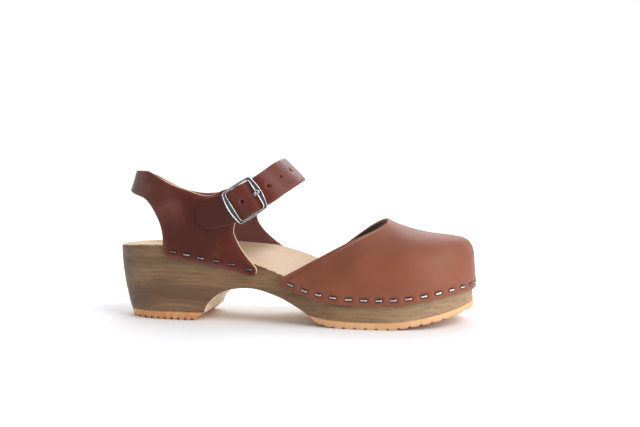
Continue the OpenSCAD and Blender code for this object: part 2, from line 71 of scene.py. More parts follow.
# The vamp's stapled edge on either side.
VAMP_LOW_OUTER = [(112, 34), (118, 30.5), (122, 27), (128, 23.6), (140, 19.5), (160, 16.3),
                  (181, 15.5), (200, 16.2), (218, 18.8), (236, 22.2), (251, 24)]
VAMP_LOW_INNER = [(112, 43), (118, 39.5), (122, 35.5), (128, 31.5), (140, 26), (160, 19.5),
                  (181, 17), (200, 17), (218, 19), (236, 22.2), (251, 24)]
# The wood's underside at the arch, then the top and the bottom of the forefoot tread.
ARCH = [(65, 5.5), (66.3, 9.5), (69, 13.2), (74, 17.6), (80, 20.8), (88, 22.9), (98, 23.3),
        (107, 21.8), (119, 17.9), (130, 12.6), (139, 7.2)]
TREAD_FACE = [(139, 7.2), (150, 5.4), (165, 4.6), (190, 4.5), (203, 5.5), (215, 7.4), (228, 10),
              (240, 12.9), (252, 15.6)]
GROUND_FACE = [(139, 7), (142.5, 4), (149, 1.2), (157, 0), (165, 0), (193, 0), (203, 1.2),
               (215, 3.2), (228, 5.8), (240, 8.8), (252, 11.4)]
# The crest of the vamp, from its throat to the toe.
VAMP_RIDGE = np.array([(190, 70.3), (199, 66.4), (208, 63.3), (219, 60.5), (231, 58.7)])
# The quarter's wall from above, (x, y), low and high, from the outer front round the heel.
WALL_LOW_Z, WALL_RISE = 40, 57
WALL_LOW = np.array([(114, -33.4), (98, -32.7), (78, -32.4), (58, -32.4), (40, -31.9),
                     (22, -27.5), (5, -20), (-8, -10), (-12, 0), (-8, 10), (5, 20), (22, 27.5),
                     (40, 31), (58, 30.7), (78, 29.6), (98, 29.3), (114, 31)])
WALL_HIGH = np.array([(114, -32.4), (98, -32.4), (78, -32.4), (58, -32.4), (40, -31.6),
                      (26, -27), (16, -19.5), (11, -10), (9.5, 0), (11, 10), (16, 19.5),
                      (26, 27), (40, 30.8), (58, 31.2), (78, 31.4), (98, 31.4), (114, 31.4)])
# The quarter's outer and inner side, (x, z).
QUARTER_OUTER = [(-20, 104.2), (9, 104), (24, 103.6), (27.5, 102.9), (34.6, 99.4), (45.3, 93.9),
                 (55.9, 90.2), (63, 87.8), (69.5, 86.6), (75, 88), (80, 90.4), (84.2, 91.4),
                 (87.2, 89), (91, 84.4), (94.2, 79.2), (94, 75.4), (90.6, 71.6), (88.2, 67),
                 (87.6, 62), (89.6, 56.7), (92.7, 50.9), (97.2, 44.8), (101.5, 39.8),
                 (103.6, 36.6), (102.5, 33.4), (99.5, 32.8), (84.8, 36.2), (70.1, 39.3),
                 (55.4, 41.8), (43.7, 43.8), (39.6, 45.2), (37.9, 49), (37.4, 58.9),
                 (35.3, 67.8), (31.1, 76.1), (27.5, 81), (23, 84.8), (14, 87.5), (6, 90),
                 (-20, 91)]
QUARTER_INNER = [(-20, 104.2), (9, 104), (11.5, 103.4), (16, 100.9), (21, 97.2), (26, 93.8),
                 (32, 90.8), (40, 88.4), (50, 87), (60, 87.8), (70, 89.4), (78, 91.4),
                 (85, 94.2), (91, 95.6), (95.6, 92), (97.6, 86), (95.6, 80.5), (92.4, 76),
                 (90, 72), (89.5, 69.2), (91, 65.1), (95.3, 59.4), (103.1, 52.3),
                 (109.4, 47.5), (111.4, 44), (110, 40.4), (106, 39.8), (84.8, 41.6),
                 (70.1, 42.6), (55.4, 43.4), (43.7, 44.2), (39.6, 45.4), (37.9, 49),
                 (36.6, 58.9), (33.2, 67.8), (28, 75), (22, 79.6), (16, 82.8), (11, 86.4),
                 (6, 90), (-20, 91)]
# Middle of the strap, (x, y, z), from its free end over the foot to its riveted end, and how many
# degrees its width leans from the upright at each of these points.
STRAP_LINE = np.array([
    (52, -36.2, 70.3), (59.6, -36.2, 71.8), (67.3, -36.2, 73.5), (75, -36.8, 75.5),
    (83.3, -37.5, 77.6), (88.7, -38, 79.6), (91.5, -38.9, 81), (94.1, -40.4, 82.4),
    (96.6, -40.9, 83.9), (99.2, -40.4, 85.4), (101.8, -38.9, 86.9), (104.4, -37.8, 88.4),
    (107.1, -36.7, 90.1), (111.3, -35.2, 92.9), (115.4, -31.2, 96.4), (119.4, -23.5, 100.4),
    (122.4, -12, 103.5), (123.4, 0, 104.7), (121, 12, 104), (115, 22, 101.2),
    (107.5, 29.3, 97), (99.8, 33.6, 92.6), (93, 35, 88.6), (86.5, 35.2, 84.8),
    (80, 35, 81.2), (74, 34.8, 78), (68, 34.6, 75)])
STRAP_TURN = np.array([-14, -14, -15, -17, -23, -31, -32, -32, -32.4, -32, -32, -33, -34, -36,
                       -39, -42, -44, -45, -44, -41, -38, -35, -33, -32, -31, -30, -30], float)
STRAP_W, STRAP_T = 21.0, 2.0
# Both ends of the strap, its fold and its holes, counted along the points of its middle.
STRAP_T0, STRAP_T1, STRAP_FOLD = 1.35, 25.3, 21.35
HOLES = (7.35, 10.6, 13.15, 14.75, 16)
# The buckle's centre bar, (x, z), how far it lies off the quarter's face, and its tilt in degrees.
BAR_AT = (96.6, 83.9)
QUARTER_FACE, BAR_OFF, STRAP_TILT = -34.8, 2.6, 32.4
# The frame's opening along and across the strap, and the widths of its rails and end bars.
FRAME_IN, FRAME_ACROSS, RAIL, BOW = 18.4, 22.0, 1.7, 4.0


# ---------------------------------------------------------------- curves and surfaces
def cubic(a, b, c, d, u):
    """Smooth curve from b to c at u, with a before and d after them."""
    return b + 0.5 * u * (c - a + u * (2 * a - 5 * b + 4 * c - d + u * (3 * (b - c) + d - a)))


def thru(p, t):
    """Open smooth curve through points p at parameter t (arrays allowed)."""
    p = np.asarray(p, float)
    t = np.asarray(t, float)
    n = len(p)
    i = np.clip(np.floor(t), 0, n - 2).astype(int)
    u = t - i
    if p.ndim > 1:
        u = u[..., None]
    return cubic(p[np.maximum(0, i - 1)], p[i], p[i + 1], p[np.minimum(n - 1, i + 2)], u)


def ring(p, t):
    """Closed smooth curve through points p."""
    p = np.asarray(p, float)
    t = np.asarray(t, float)
    n = len(p)
    i = np.floor(t).astype(int)
    u = (t - i)[..., None]
    return cubic(p[(i - 1) % n], p[i % n], p[(i + 1) % n], p[(i + 2) % n], u)


def level(x, table):
    """Smooth height at x through a table of (x, z)."""
    p = np.asarray(table, float)
    x = np.asarray(x, float)
    n = len(p)
    k = np.arange(n)
    a, b = np.maximum(0, k - 1), np.minimum(n - 1, k + 1)
    s = (p[b, 1] - p[a, 1]) / (p[b, 0] - p[a, 0])
    i = np.clip(np.searchsorted(p[:, 0], x, "right") - 1, 0, n - 2)
    w = p[i + 1, 0] - p[i, 0]
    u = np.clip((x - p[i, 0]) / w, 0, 1)
    v = 1 - u
    return (p[i, 1] * v * v * (1 + 2 * u) + p[i + 1, 1] * u * u * (3 - 2 * u)
            + w * s[i] * u * v * v - w * s[i + 1] * u * u * v)


def mix(a, b, u):
    """From a at u = 0 to b at u = 1."""
    return a + (b - a) * u


def lengths(points):
    """Distance from the first point to each point."""
    return np.concatenate([[0], np.cumsum(np.linalg.norm(np.diff(points, axis=0), axis=1))])


def unit(v):
    """Vectors of length 1."""
    return v / np.maximum(np.linalg.norm(v, axis=-1, keepdims=True), 1e-12)


def ease(u):
    """0 up to u = 0 and 1 from u = 1, with a soft step between."""
    c = np.clip(u, 0, 1)
    return c * c * (3 - 2 * c)


def rim_xy(t):
    """The wood's outline from above: t counts its points, from the heel along the outer side."""
    return ring(OUTLINE, t)


def inward(t):
    """Level direction into the wood, square to its outline."""
    d = unit(rim_xy(np.asarray(t) + 0.02) - rim_xy(np.asarray(t) - 0.02))
    return np.stack([-d[..., 1], d[..., 0]], -1)


def by_half(t, outer, inner):
    """Height from the outer table or the inner one, by the side that t is on."""
    x = rim_xy(t)[..., 0]
    return np.where(np.asarray(t) > LAST / 2, level(x, inner), level(x, outer))


def rim_z(t):
    """Height of the footbed's rim."""
    return by_half(t, RIM_OUTER, RIM_INNER)


def wall_pt(t, z):
    """Point of the wood's side wall at height z."""
    t, z = np.broadcast_arrays(np.asarray(t, float), np.asarray(z, float))
    d = np.maximum(0, rim_z(t) - z)
    q = inward(t)
    lean = mix(d * d * (0.0016 + 0.0017 * np.maximum(0, q[..., 0])), -0.07 * d,
               ease((rim_xy(t)[..., 0] - 128) / 40))
    p = rim_xy(t) + q * lean[..., None]
    return np.stack([p[..., 0], p[..., 1], z], -1)


ARCH_CURVE = thru(ARCH, np.linspace(0, len(ARCH) - 1, 401))
(ARCH_FROM, HEEL_TREAD_TOP), ARCH_TO = ARCH[0], ARCH[-1][0]


def wood_under(x):
    """Height of the wood's underside."""
    x = np.asarray(x, float)
    arch = np.interp(x, ARCH_CURVE[:, 0], ARCH_CURVE[:, 1])
    return np.where(x < ARCH_FROM, HEEL_TREAD_TOP,
                    np.where(x < ARCH_TO, arch, level(x, TREAD_FACE)))


# Vamp surface: t round the outline from the outer corner over the toe to the inner corner,
# v from the stapled edge (0) past the rim (RIM_V) to the ridge (1), off inwards from the outside.
VAMP_T0 = 6.63
VAMP_T1 = LAST - VAMP_T0
RIM_V = 0.2
INNER_REACH = 0.93


def foot_t(t):
    """Place on the wood's outline: the vamp's inner side starts nearer the toe."""
    t = np.asarray(t, float)
    return np.where(t > LAST / 2, mix(LAST / 2, t, INNER_REACH), t)


def vamp_side(t):
    """0 at the toe, 1 at both corners."""
    return np.abs(t - LAST / 2) / (LAST / 2 - VAMP_T0)


def ridge_side(a, soft=0.15):
    """Rounds the meeting of the two sides over the toe."""
    return (np.hypot(a, soft) - soft) / (math.hypot(1, soft) - soft)


def vamp_pt(t, v, off):
    """Point of the vamp: up the wood to its rim, then over in a rounded section to the crest."""
    t, v, off = np.broadcast_arrays(*[np.asarray(a, float) for a in (t, v, off)])
    a = vamp_side(t)
    foot = foot_t(t)
    z0 = by_half(foot, VAMP_LOW_OUTER, VAMP_LOW_INNER)
    z1 = mix(rim_z(foot) + 0.6, z0 + 0.6, ease((a - 0.94) / 0.06))
    z = mix(z0, z1, np.minimum(1, v / RIM_V))
    slack = np.where(t > LAST / 2, 0.9, 0.5) * ease((a - 0.75) / 0.15)
    out = FIT_GAP + LEATHER - off + slack
    f = wall_pt(foot, z)[..., :2] - inward(foot) * out[..., None]
    squareness = mix(3.5, 2.3, ease(a * 2))
    along = 1 - ridge_side(np.clip(a, 0, 1))
    top = thru(VAMP_RIDGE, 4 * along)
    w = np.radians(90 * np.maximum(0, v - RIM_V) / (1 - RIM_V))
    rise = np.sin(w) ** (2 / squareness)
    inwards = 1 - np.maximum(np.cos(w), 0) ** (2 / squareness)
    # round in plan at the toe, straight up to the throat at the corners, with a lip outside
    plan = 1 - np.where(t > LAST / 2, 0.8, 1.0) * ease(a * 1.25)
    lip = np.where(t > LAST / 2, 0, 1.4) * rise ** 8 * (1 - rise) * ease(a * 1.25)
    crest_y = 1.5 + 0.4 * along
    return np.stack([mix(f[..., 0], top[..., 0], mix(rise + lip, inwards, plan)),
                     mix(f[..., 1], crest_y, inwards), mix(z, top[..., 1] - off, rise)], -1)


def quarter_path(u, z):
    """The quarter's flesh side from above at height z; u counts the wall's points."""
    k = ((np.asarray(z, float) - WALL_LOW_Z) / WALL_RISE)[..., None]
    return mix(thru(WALL_LOW, u), thru(WALL_HIGH, u), k)


def quarter_pt(u, z, out):
    """Point of the quarter's wall, moved by out towards the foot."""
    u, z, out = np.broadcast_arrays(*[np.asarray(a, float) for a in (u, z, out)])
    p = quarter_path(u, z)
    d = unit(quarter_path(u + 0.02, z) - quarter_path(u - 0.02, z))
    return np.stack([p[..., 0] + d[..., 1] * out, p[..., 1] - d[..., 0] * out, z], -1)


def strap_frame(t):
    """Middle of the strap, direction across, direction along and direction outwards."""
    t = np.asarray(t, float)
    c = thru(STRAP_LINE, t)
    a = np.radians(thru(STRAP_TURN, t))
    w = unit(np.stack([-np.sin(a), np.where(t > 20, -0.04, 0.0), -np.cos(a)], -1))
    along = unit(thru(STRAP_LINE, t + 0.05) - thru(STRAP_LINE, t - 0.05))
    o = unit(np.cross(w, along))
    return c, w, np.cross(w, o), o


def at_buckle(p):
    """Buckle axes (x along the strap, y across it, z away from the foot) to the shoe's."""
    p = np.asarray(p, float)
    a = math.radians(STRAP_TILT)
    x, y, z = p[..., 0], p[..., 1], p[..., 2]
    return np.stack([BAR_AT[0] + x * math.cos(a) - y * math.sin(a),
                     QUARTER_FACE - BAR_OFF - z,
                     BAR_AT[1] + x * math.sin(a) + y * math.cos(a)], -1)


# ---------------------------------------------------------------- mesh making
def link(ob):
    """Puts a new object into the scene."""
    bpy.context.scene.collection.objects.link(ob)
    return ob


def to_mesh(name, verts, faces, sharp, marks, mat):
    """A smooth mesh object from millimetre points, with edges kept sharp from an angle, unless
    that is None. marks are named values at the points, for its material."""
    me = bpy.data.meshes.new(name)
    v = (np.asarray(verts, float) - MIDDLE) * MM
    me.from_pydata(v.tolist(), [], [list(map(int, f)) for f in faces])
    for key, values in marks.items():
        att = me.attributes.new(key, "FLOAT", "POINT")
        att.data.foreach_set("value", np.asarray(values, np.float32))
    ob = link(bpy.data.objects.new(name, me))
    weld(me)
    me.validate()
    me.shade_smooth()
    if sharp:
        me.set_sharp_from_angle(angle=math.radians(sharp))
    me.materials.append(mat)
    return ob


def weld(me, dist=0.00001):
    """Joins points that coincide, drops empty faces and turns every face outwards."""
    bm = bmesh.new()
    bm.from_mesh(me)
    bmesh.ops.remove_doubles(bm, verts=bm.verts, dist=dist)
    bmesh.ops.dissolve_degenerate(bm, edges=bm.edges, dist=dist / 4)
    bmesh.ops.recalc_face_normals(bm, faces=bm.faces)
    bm.to_mesh(me)
    bm.free()


def rings_faces(m, n, close=True):
    """Quads between m rings of n points."""
    out = []
    for i in range(m - 1):
        for j in range(n if close else n - 1):
            k = (j + 1) % n
            out.append((i * n + j, (i + 1) * n + j, (i + 1) * n + k, i * n + k))
    return out


def solid_faces(m, n, base=0):
    """Quads between m rings of n points and a face over either end, numbered from base."""
    faces = rings_faces(m, n) + [tuple(range(n)), tuple(range((m - 1) * n, m * n))[::-1]]
    return [tuple(base + i for i in f) for f in faces]


def facing(faces, p, q):
    """The faces of a sheet, turned if need be so that they look from side q to side p."""
    a, b, c = faces[0][:3]
    if np.dot(np.cross(p[b] - p[a], p[c] - p[a]), p[a] - q[a]) < 0:
        return [f[::-1] for f in faces]
    return faces


def boundary_loops(faces):
    """Ordered loops of the edges that belong to one face, in that face's direction."""
    nxt = {}
    edges = set()
    for f in faces:
        for a, b in zip(f, tuple(f[1:]) + (f[0],)):
            edges.add((a, b))
    for a, b in edges:
        if (b, a) not in edges:
            nxt[a] = b
    loops = []
    while nxt:
        start = min(nxt)
        loop = [start]
        b = nxt.pop(start)
        while b != start:
            loop.append(b)
            b = nxt.pop(b)
        loops.append(loop)
    return loops


CORNER_IN = 0.293     # how far the middle of a rounded corner lies inside it, by its radius
MOST_ROUND = 0.45     # the largest radius of a cut edge and its bulge, by the sheet's thickness
BULGE = 0.08


def thick(outer, inner, faces, r, marks):
    """A sheet with both sides and a cut edge rounded by r. Returns verts, faces and marks, with
    the marks cut (1 on the cut edge) and inside (1 on the inner side) added."""
    n = len(outer)
    outer, inner = np.array(outer), np.array(inner)
    verts = [outer.copy(), inner.copy()]
    marks = {k: [v, v] for k, v in marks.items()}
    cut = [np.zeros(n), np.zeros(n)]
    side = [np.zeros(n), np.ones(n)]
    out_faces = [tuple(f) for f in faces] + [tuple(i + n for i in f[::-1]) for f in faces]
    base = 2 * n
    for loop in boundary_loops(faces):
        b, c = outer[loop], inner[loop]
        tau = unit(np.roll(b, -1, 0) - np.roll(b, 1, 0))
        up = unit(b - c)
        e = unit(np.cross(tau, up))
        thickness = np.linalg.norm(b - c, axis=1, keepdims=True)
        rr = np.minimum(r, MOST_ROUND * thickness)
        verts[0][loop] = b - e * rr
        verts[1][loop] = c - e * rr
        rows = [b - CORNER_IN * rr * (e + up), b - up * rr, (b + c) / 2 + e * BULGE * thickness,
                c + up * rr, c - CORNER_IN * rr * (e - up)]
        k = len(loop)
        idx = [list(loop)]
        for row in rows:
            verts.append(row)
            idx.append(list(range(base, base + k)))
            base += k
        idx.append([i + n for i in loop])
        for s, mark in enumerate((0.65, 1, 1, 1, 0.65)):
            cut.append(np.full(k, mark))
            side.append(np.full(k, s / 4))
            for values in marks.values():
                values.append(values[0][loop])
        for a, d in zip(idx[:-1], idx[1:]):
            for i in range(k):
                j = (i + 1) % k
                out_faces.append((a[j], a[i], d[i], d[j]))
    marks.update(cut=cut, inside=side)
    return np.concatenate(verts), out_faces, {k: np.concatenate(v) for k, v in marks.items()}


def inside_poly(p, poly):
    """Which points lie inside a closed polygon."""
    x, y = p[:, 0][:, None], p[:, 1][:, None]
    a, b = poly, np.roll(poly, -1, 0)
    cross = ((a[:, 1] > y) != (b[:, 1] > y))
    xs = a[:, 0] + (y - a[:, 1]) * (b[:, 0] - a[:, 0]) / np.where(b[:, 1] == a[:, 1], 1e-9,
                                                                  b[:, 1] - a[:, 1])
    return (cross & (x < xs)).sum(1) % 2 == 1


def spaced(poly, step):
    """A closed polygon with points at equal steps along it."""
    closed = np.vstack([poly, poly[:1]])
    d = lengths(closed)
    n = max(8, int(round(d[-1] / step)))
    s = np.arange(n) * d[-1] / n
    return np.stack([np.interp(s, d, closed[:, k]) for k in (0, 1)], 1)


def sheet2d(outline, holes, step):
    """Flat triangles inside an outline, round its holes, on an even grid of points."""
    lo, hi = outline.min(0), outline.max(0)
    gx, gy = np.meshgrid(np.arange(lo[0], hi[0], step), np.arange(lo[1], hi[1], step))
    gx = gx + 0.5 * step * (np.arange(gx.shape[0]) % 2)[:, None]
    g = np.stack([gx.ravel(), gy.ravel()], 1)
    keep = inside_poly(g, outline)
    loops = [outline] + list(holes)
    for poly in loops:
        d = np.full(len(g), 1e9)
        for q in poly:
            d = np.minimum(d, np.hypot(g[:, 0] - q[0], g[:, 1] - q[1]))
        keep &= d > step * 0.62
    for h in holes:
        keep &= ~inside_poly(g, h)
    pts, edges = [], []
    for poly in loops:
        k = len(pts)
        pts += poly.tolist()
        edges += [(k + i, k + (i + 1) % len(poly)) for i in range(len(poly))]
    pts += g[keep].tolist()
    v, _, f, _, _, _ = delaunay_2d_cdt([Vector(p) for p in pts], edges, [], 1, 1e-6)
    v = np.array([tuple(p) for p in v])
    f = np.array([tuple(t) for t in f if len(t) == 3])
    c = v[f].mean(1)
    ok = inside_poly(c, outline)
    for h in holes:
        ok &= ~inside_poly(c, h)
    f = f[ok]
    a, b, c = v[f[:, 0]], v[f[:, 1]], v[f[:, 2]]
    area = (b[:, 0] - a[:, 0]) * (c[:, 1] - a[:, 1]) - (b[:, 1] - a[:, 1]) * (c[:, 0] - a[:, 0])
    f[area < 0] = f[area < 0][:, ::-1]
    return v, [tuple(t) for t in f]


def hash01(i, k=0):
    """A repeatable number from 0 to 1."""
    return (math.sin(i * 12.9898 + k * 78.233) * 43758.5453) % 1.0


# ---------------------------------------------------------------- materials
def srgb(r, g, b):
    """An sRGB colour from 0 to 255 as linear RGBA."""
    c = [v / 255 for v in (r, g, b)]
    return [v / 12.92 if v <= 0.04045 else ((v + 0.055) / 1.055) ** 2.4 for v in c] + [1.0]


class Mat:
    """A material and short names for the nodes that it's made of."""

    def __init__(self, name, **sockets):
        self.m = bpy.data.materials.new(name)
        self.m.use_nodes = True
        self.t = self.m.node_tree
        self.p = self.t.nodes["Principled BSDF"]
        for k, v in sockets.items():
            self.p.inputs[k.replace("_", " ")].default_value = v
        self.obj = self.node("TexCoord")["Object"]

    def fill(self, node, sockets):
        """Links or sets input sockets, each given by its name or number."""
        for k, v in sockets:
            if isinstance(v, bpy.types.NodeSocket):
                self.t.links.new(v, node.inputs[k])
            elif v is not None:
                node.inputs[k].default_value = v

    def node(self, kind, sockets=(), **props):
        """The outputs of a new node."""
        n = self.t.nodes.new("ShaderNode" + kind)
        for k, v in props.items():
            setattr(n, k, v)
        self.fill(n, sockets)
        return n.outputs

    def math(self, op, a, b):
        return self.node("Math", enumerate((a, b)), operation=op)[0]

    def scaled(self, v, size):
        """Coordinates multiplied by size on each axis."""
        return self.node("VectorMath", enumerate((v, size)), operation="MULTIPLY")[0]

    def shifted(self, by):
        """Object coordinates moved by a fixed amount, or by a node's vector."""
        return self.node("VectorMath", enumerate((self.obj, by)), operation="ADD")[0]

    def noise(self, v, scale, detail=3, rough=0.55, distort=0.0):
        sockets = {"Vector": v, "Scale": scale, "Detail": detail, "Roughness": rough,
                   "Distortion": distort}
        return self.node("TexNoise", sockets.items())["Fac"]

    def cells(self, v, scale, feature):
        return self.node("TexVoronoi", (("Vector", v), ("Scale", scale)), feature=feature)[0]

    def ramp(self, value, lo, hi, a=0.0, b=1.0):
        """From a to b as value goes from lo to hi, with a soft step between."""
        sockets = enumerate((value, lo, hi, a, b))
        return self.node("MapRange", sockets, interpolation_type="SMOOTHSTEP")[0]

    def blend(self, fac, a, b):
        """Colour a at 0, b at 1."""
        return self.node("Mix", ((0, fac), (6, a), (7, b)), data_type="RGBA")[2]

    def over(self, base, colour, value, lo, hi, least=0.0, most=1.0):
        """base under a share of colour, from least to most as value goes from lo to hi."""
        return self.blend(self.ramp(value, lo, hi, least, most), base, colour)

    def att(self, name):
        """A value stored at the mesh's points."""
        return self.node("Attribute", attribute_name=name)["Fac"]

    def part(self, axis):
        """One of the object coordinates."""
        return self.node("SeparateXYZ", ((0, self.obj),))[axis]

    def bump(self, height, strength, distance, normal=None):
        sockets = {"Height": height, "Strength": strength, "Distance": distance,
                   "Normal": normal}
        return self.node("Bump", sockets.items())[0]

    def out(self, colour, rough=None, normal=None):
        self.fill(self.p, (("Base Color", colour), ("Roughness", rough), ("Normal", normal)))
        return self.m


def leather_material(name, deep, mid, light, flesh, cut, shade_colour, rough, seed, gloss, sheen):
    """Smooth waxed leather: mottled dye, fine pores and creases, pale fibrous cut edges."""
    m = Mat(name, Specular_IOR_Level=gloss, Sheen_Weight=sheen, Sheen_Roughness=0.5,
            Coat_Weight=0.03, Coat_Roughness=0.4)
    v = m.shifted((seed, seed * 0.7, seed * 0.3))
    cloud = m.noise(v, 16, 3, 0.55, 0.3)
    patch = m.noise(v, 55, 4, 0.55, 0.2)
    grain = m.cells(v, 1500, "DISTANCE_TO_EDGE")
    pores = m.noise(v, 1900, 2, 0.5)
    crease = m.noise(m.scaled(v, (1.0, 1.0, 2.2)), 260, 4, 0.6, 0.8)
    fibre = m.noise(v, 900, 3, 0.7)
    col = m.over(deep, mid, cloud, 0.36, 0.64, 0.25, 1)
    col = m.over(col, light, patch, 0.5, 0.8, 0, 0.25)
    col = m.over(col, deep, crease, 0.3, 0.46, 0.14, 0)
    col = m.over(col, deep, grain, 0.0, 0.12, 0.12, 0)
    # lighter next to the edges from wear, with a painted sheen on the quarter's upper back;
    # painted shade round the staples and on the strap's free end; a greyish painted reflection
    # round the heel
    lightening = m.math("MULTIPLY", m.att("wear_and_sheen"), m.ramp(patch, 0.3, 0.7, 0.15, 0.5))
    col = m.blend(lightening, col, light)
    # painted shade: darkened in the dimples round the staples and on the strap's free end
    col = m.over(col, shade_colour, m.att("shaded"), 0.1, 1.0, 0, 0.8)
    # painted reflection: greyer round the back of the heel, where the band catches a glancing
    # reflection
    col = m.over(col, srgb(66, 46, 46), m.part(0), -0.118, -0.094, 0.55, 0)
    # the flesh side and the bare cut edge
    inside = m.att("inside")
    bare = m.att("cut")
    back = m.over(flesh, deep, fibre, 0.3, 0.7, 0.05, 0.3)
    col = m.over(col, back, inside, 0.7, 0.95)
    edge = m.over(cut, mid, fibre, 0.35, 0.7, 0, 0.6)
    edge = m.over(edge, back, inside, 0.45, 0.9)
    col = m.over(col, edge, bare, 0.55, 0.8)
    r = m.math("ADD", m.ramp(patch, 0.3, 0.7, rough - 0.04, rough + 0.05),
               m.ramp(bare, 0.4, 0.9, 0, 0.3))
    n = m.bump(cloud, 0.12, 0.001)
    n = m.bump(crease, 0.2, 0.0003, n)
    n = m.bump(grain, 0.28, 0.00012, n)
    n = m.bump(pores, 0.12, 0.0001, n)
    return m.out(col, r, n)


def wood_material():
    """Alder: side walls stained olive brown with long level grain, bare wood elsewhere."""
    m = Mat("wood_alder", Specular_IOR_Level=0.35)
    # the grain wanders up and down by up to 10 mm
    warp = m.math("SUBTRACT", m.noise(m.obj, 9, 2, 0.5), 0.5)
    v = m.shifted(m.node("CombineXYZ", ((2, m.math("MULTIPLY", warp, 0.02)),))[0])
    bands = m.noise(m.scaled(v, (5, 22, 70)), 1.0, 5, 0.6, 0.5)
    grain = m.noise(m.scaled(v, (22, 210, 420)), 1.0, 5, 0.65, 0.3)
    flecks = m.noise(m.scaled(v, (90, 900, 1500)), 1.0, 3, 0.6)
    mottle = m.noise(m.scaled(v, (120, 160, 420)), 1.0, 4, 0.65)
    rings = m.noise(m.scaled(v, (3.2, 34, 30)), 1.0, 3, 0.5, 0.8)
    ring_line = m.math("PINGPONG", m.math("MULTIPLY", rings, 9.0), 0.5)
    bare = m.over(srgb(226, 198, 168), srgb(248, 232, 208), bands, 0.3, 0.7)
    bare = m.over(bare, srgb(184, 146, 110), grain, 0.35, 0.6, 0.28, 0)
    bare = m.over(bare, srgb(196, 160, 124), ring_line, 0.0, 0.1, 0.22, 0)
    # painted shade: the footbed is painted darker than the arch underside, which is the same bare
    # wood
    bare = m.blend(m.math("MULTIPLY", m.att("bed"), 0.78), bare, srgb(178, 146, 114))
    stain = m.over(srgb(104, 74, 50), srgb(154, 120, 84), bands, 0.32, 0.66)
    stain = m.over(stain, srgb(86, 66, 50), grain, 0.3, 0.62, 0.62, 0)
    stain = m.over(stain, srgb(84, 64, 50), flecks, 0.3, 0.5, 0.35, 0)
    stain = m.over(stain, srgb(98, 76, 60), ring_line, 0.0, 0.09, 0.3, 0)
    # darker round the heel, paler and spotted towards the toe
    x = m.part(0)
    stain = m.over(stain, srgb(82, 66, 62), x, -0.124, -0.098, 0.6, 0)
    stain = m.over(stain, srgb(176, 148, 116), x, 0.03, 0.1, 0, 0.55)
    spots = m.math("MULTIPLY", m.ramp(mottle, 0.36, 0.56, 0.42, 0), m.ramp(x, 0.0, 0.08, 0.25, 1))
    stain = m.blend(spots, stain, srgb(110, 88, 68))
    mask = m.math("ADD", m.att("stained"), m.ramp(flecks, 0.3, 0.7, -0.12, 0.12))
    col = m.over(bare, stain, mask, 0.4, 0.62)
    rough = m.ramp(grain, 0.3, 0.7, 0.62, 0.48)
    n = m.bump(bands, 0.12, 0.001)
    n = m.bump(grain, 0.25, 0.00025, n)
    n = m.bump(flecks, 0.25, 0.00012, n)
    return m.out(col, rough, n)


def rubber_material():
    """Crepe rubber: cloudy and speckled, with painted light making it paler at the toe, scuffed
    where it treads.
    """
    m = Mat("crepe_rubber", Specular_IOR_Level=0.4)
    cloud = m.noise(m.obj, 60, 4, 0.6)
    fine = m.noise(m.obj, 700, 4, 0.7)
    specks = m.cells(m.obj, 900, "F1")
    col = m.over(srgb(198, 132, 84), srgb(222, 168, 118), cloud, 0.3, 0.7)
    col = m.over(col, srgb(176, 112, 68), fine, 0.3, 0.55, 0.3, 0)
    col = m.over(col, srgb(240, 200, 156), specks, 0.0, 0.25, 0.3, 0)
    # painted light: paler towards the toe, where the key light falls
    col = m.over(col, srgb(228, 190, 146), m.part(0), -0.02, 0.05, 0, 0.45)
    scuffs = m.math("MULTIPLY", m.att("tread"), m.ramp(cloud, 0.35, 0.65, 0.1, 0.5))
    col = m.blend(scuffs, col, srgb(150, 98, 66))
    n = m.bump(fine, 0.3, 0.0002)
    n = m.bump(cloud, 0.2, 0.0005, n)
    return m.out(col, m.ramp(fine, 0.3, 0.7, 0.52, 0.7), n)


def metal_material(name, bright, dark, rough):
    """Plated metal with darkened hollows, fine scratches and rubbed edges."""
    m = Mat(name, Metallic=1.0)
    cloud = m.noise(m.obj, 320, 4, 0.6)
    lines = m.noise(m.scaled(m.obj, (500, 5200, 5200)), 1.0, 2, 0.5)
    fine = m.noise(m.obj, 2600, 3, 0.6)
    hollow = m.math("ADD", m.att("hollow"), m.ramp(cloud, 0.3, 0.7, -0.06, 0.06))
    col = m.over(bright, dark, cloud, 0.35, 0.7, 0, 0.15)
    col = m.over(col, dark, hollow, 0.3, 0.75, 0, 0.93)
    r = m.math("ADD", m.ramp(fine, 0.3, 0.7, rough - 0.05, rough + 0.08),
               m.ramp(hollow, 0.3, 0.8, 0, 0.18))
    n = m.bump(lines, 0.12, 0.00004)
    n = m.bump(cloud, 0.08, 0.00005, n)
    return m.out(col, r, n)


def lining_material():
    """Dull brushed leather."""
    m = Mat("lining", Specular_IOR_Level=0.25, Sheen_Weight=0.2)
    cloud = m.noise(m.obj, 40, 4, 0.6)
    nap = m.noise(m.obj, 1400, 4, 0.7)
    col = m.over(srgb(84, 70, 76), srgb(116, 100, 104), cloud, 0.3, 0.7)
    col = m.over(col, srgb(58, 48, 52), nap, 0.3, 0.6, 0.35, 0)
    return m.out(col, m.ramp(nap, 0.3, 0.7, 0.75, 0.92), m.bump(nap, 0.4, 0.0002))


WOOD = wood_material()
RUBBER = rubber_material()
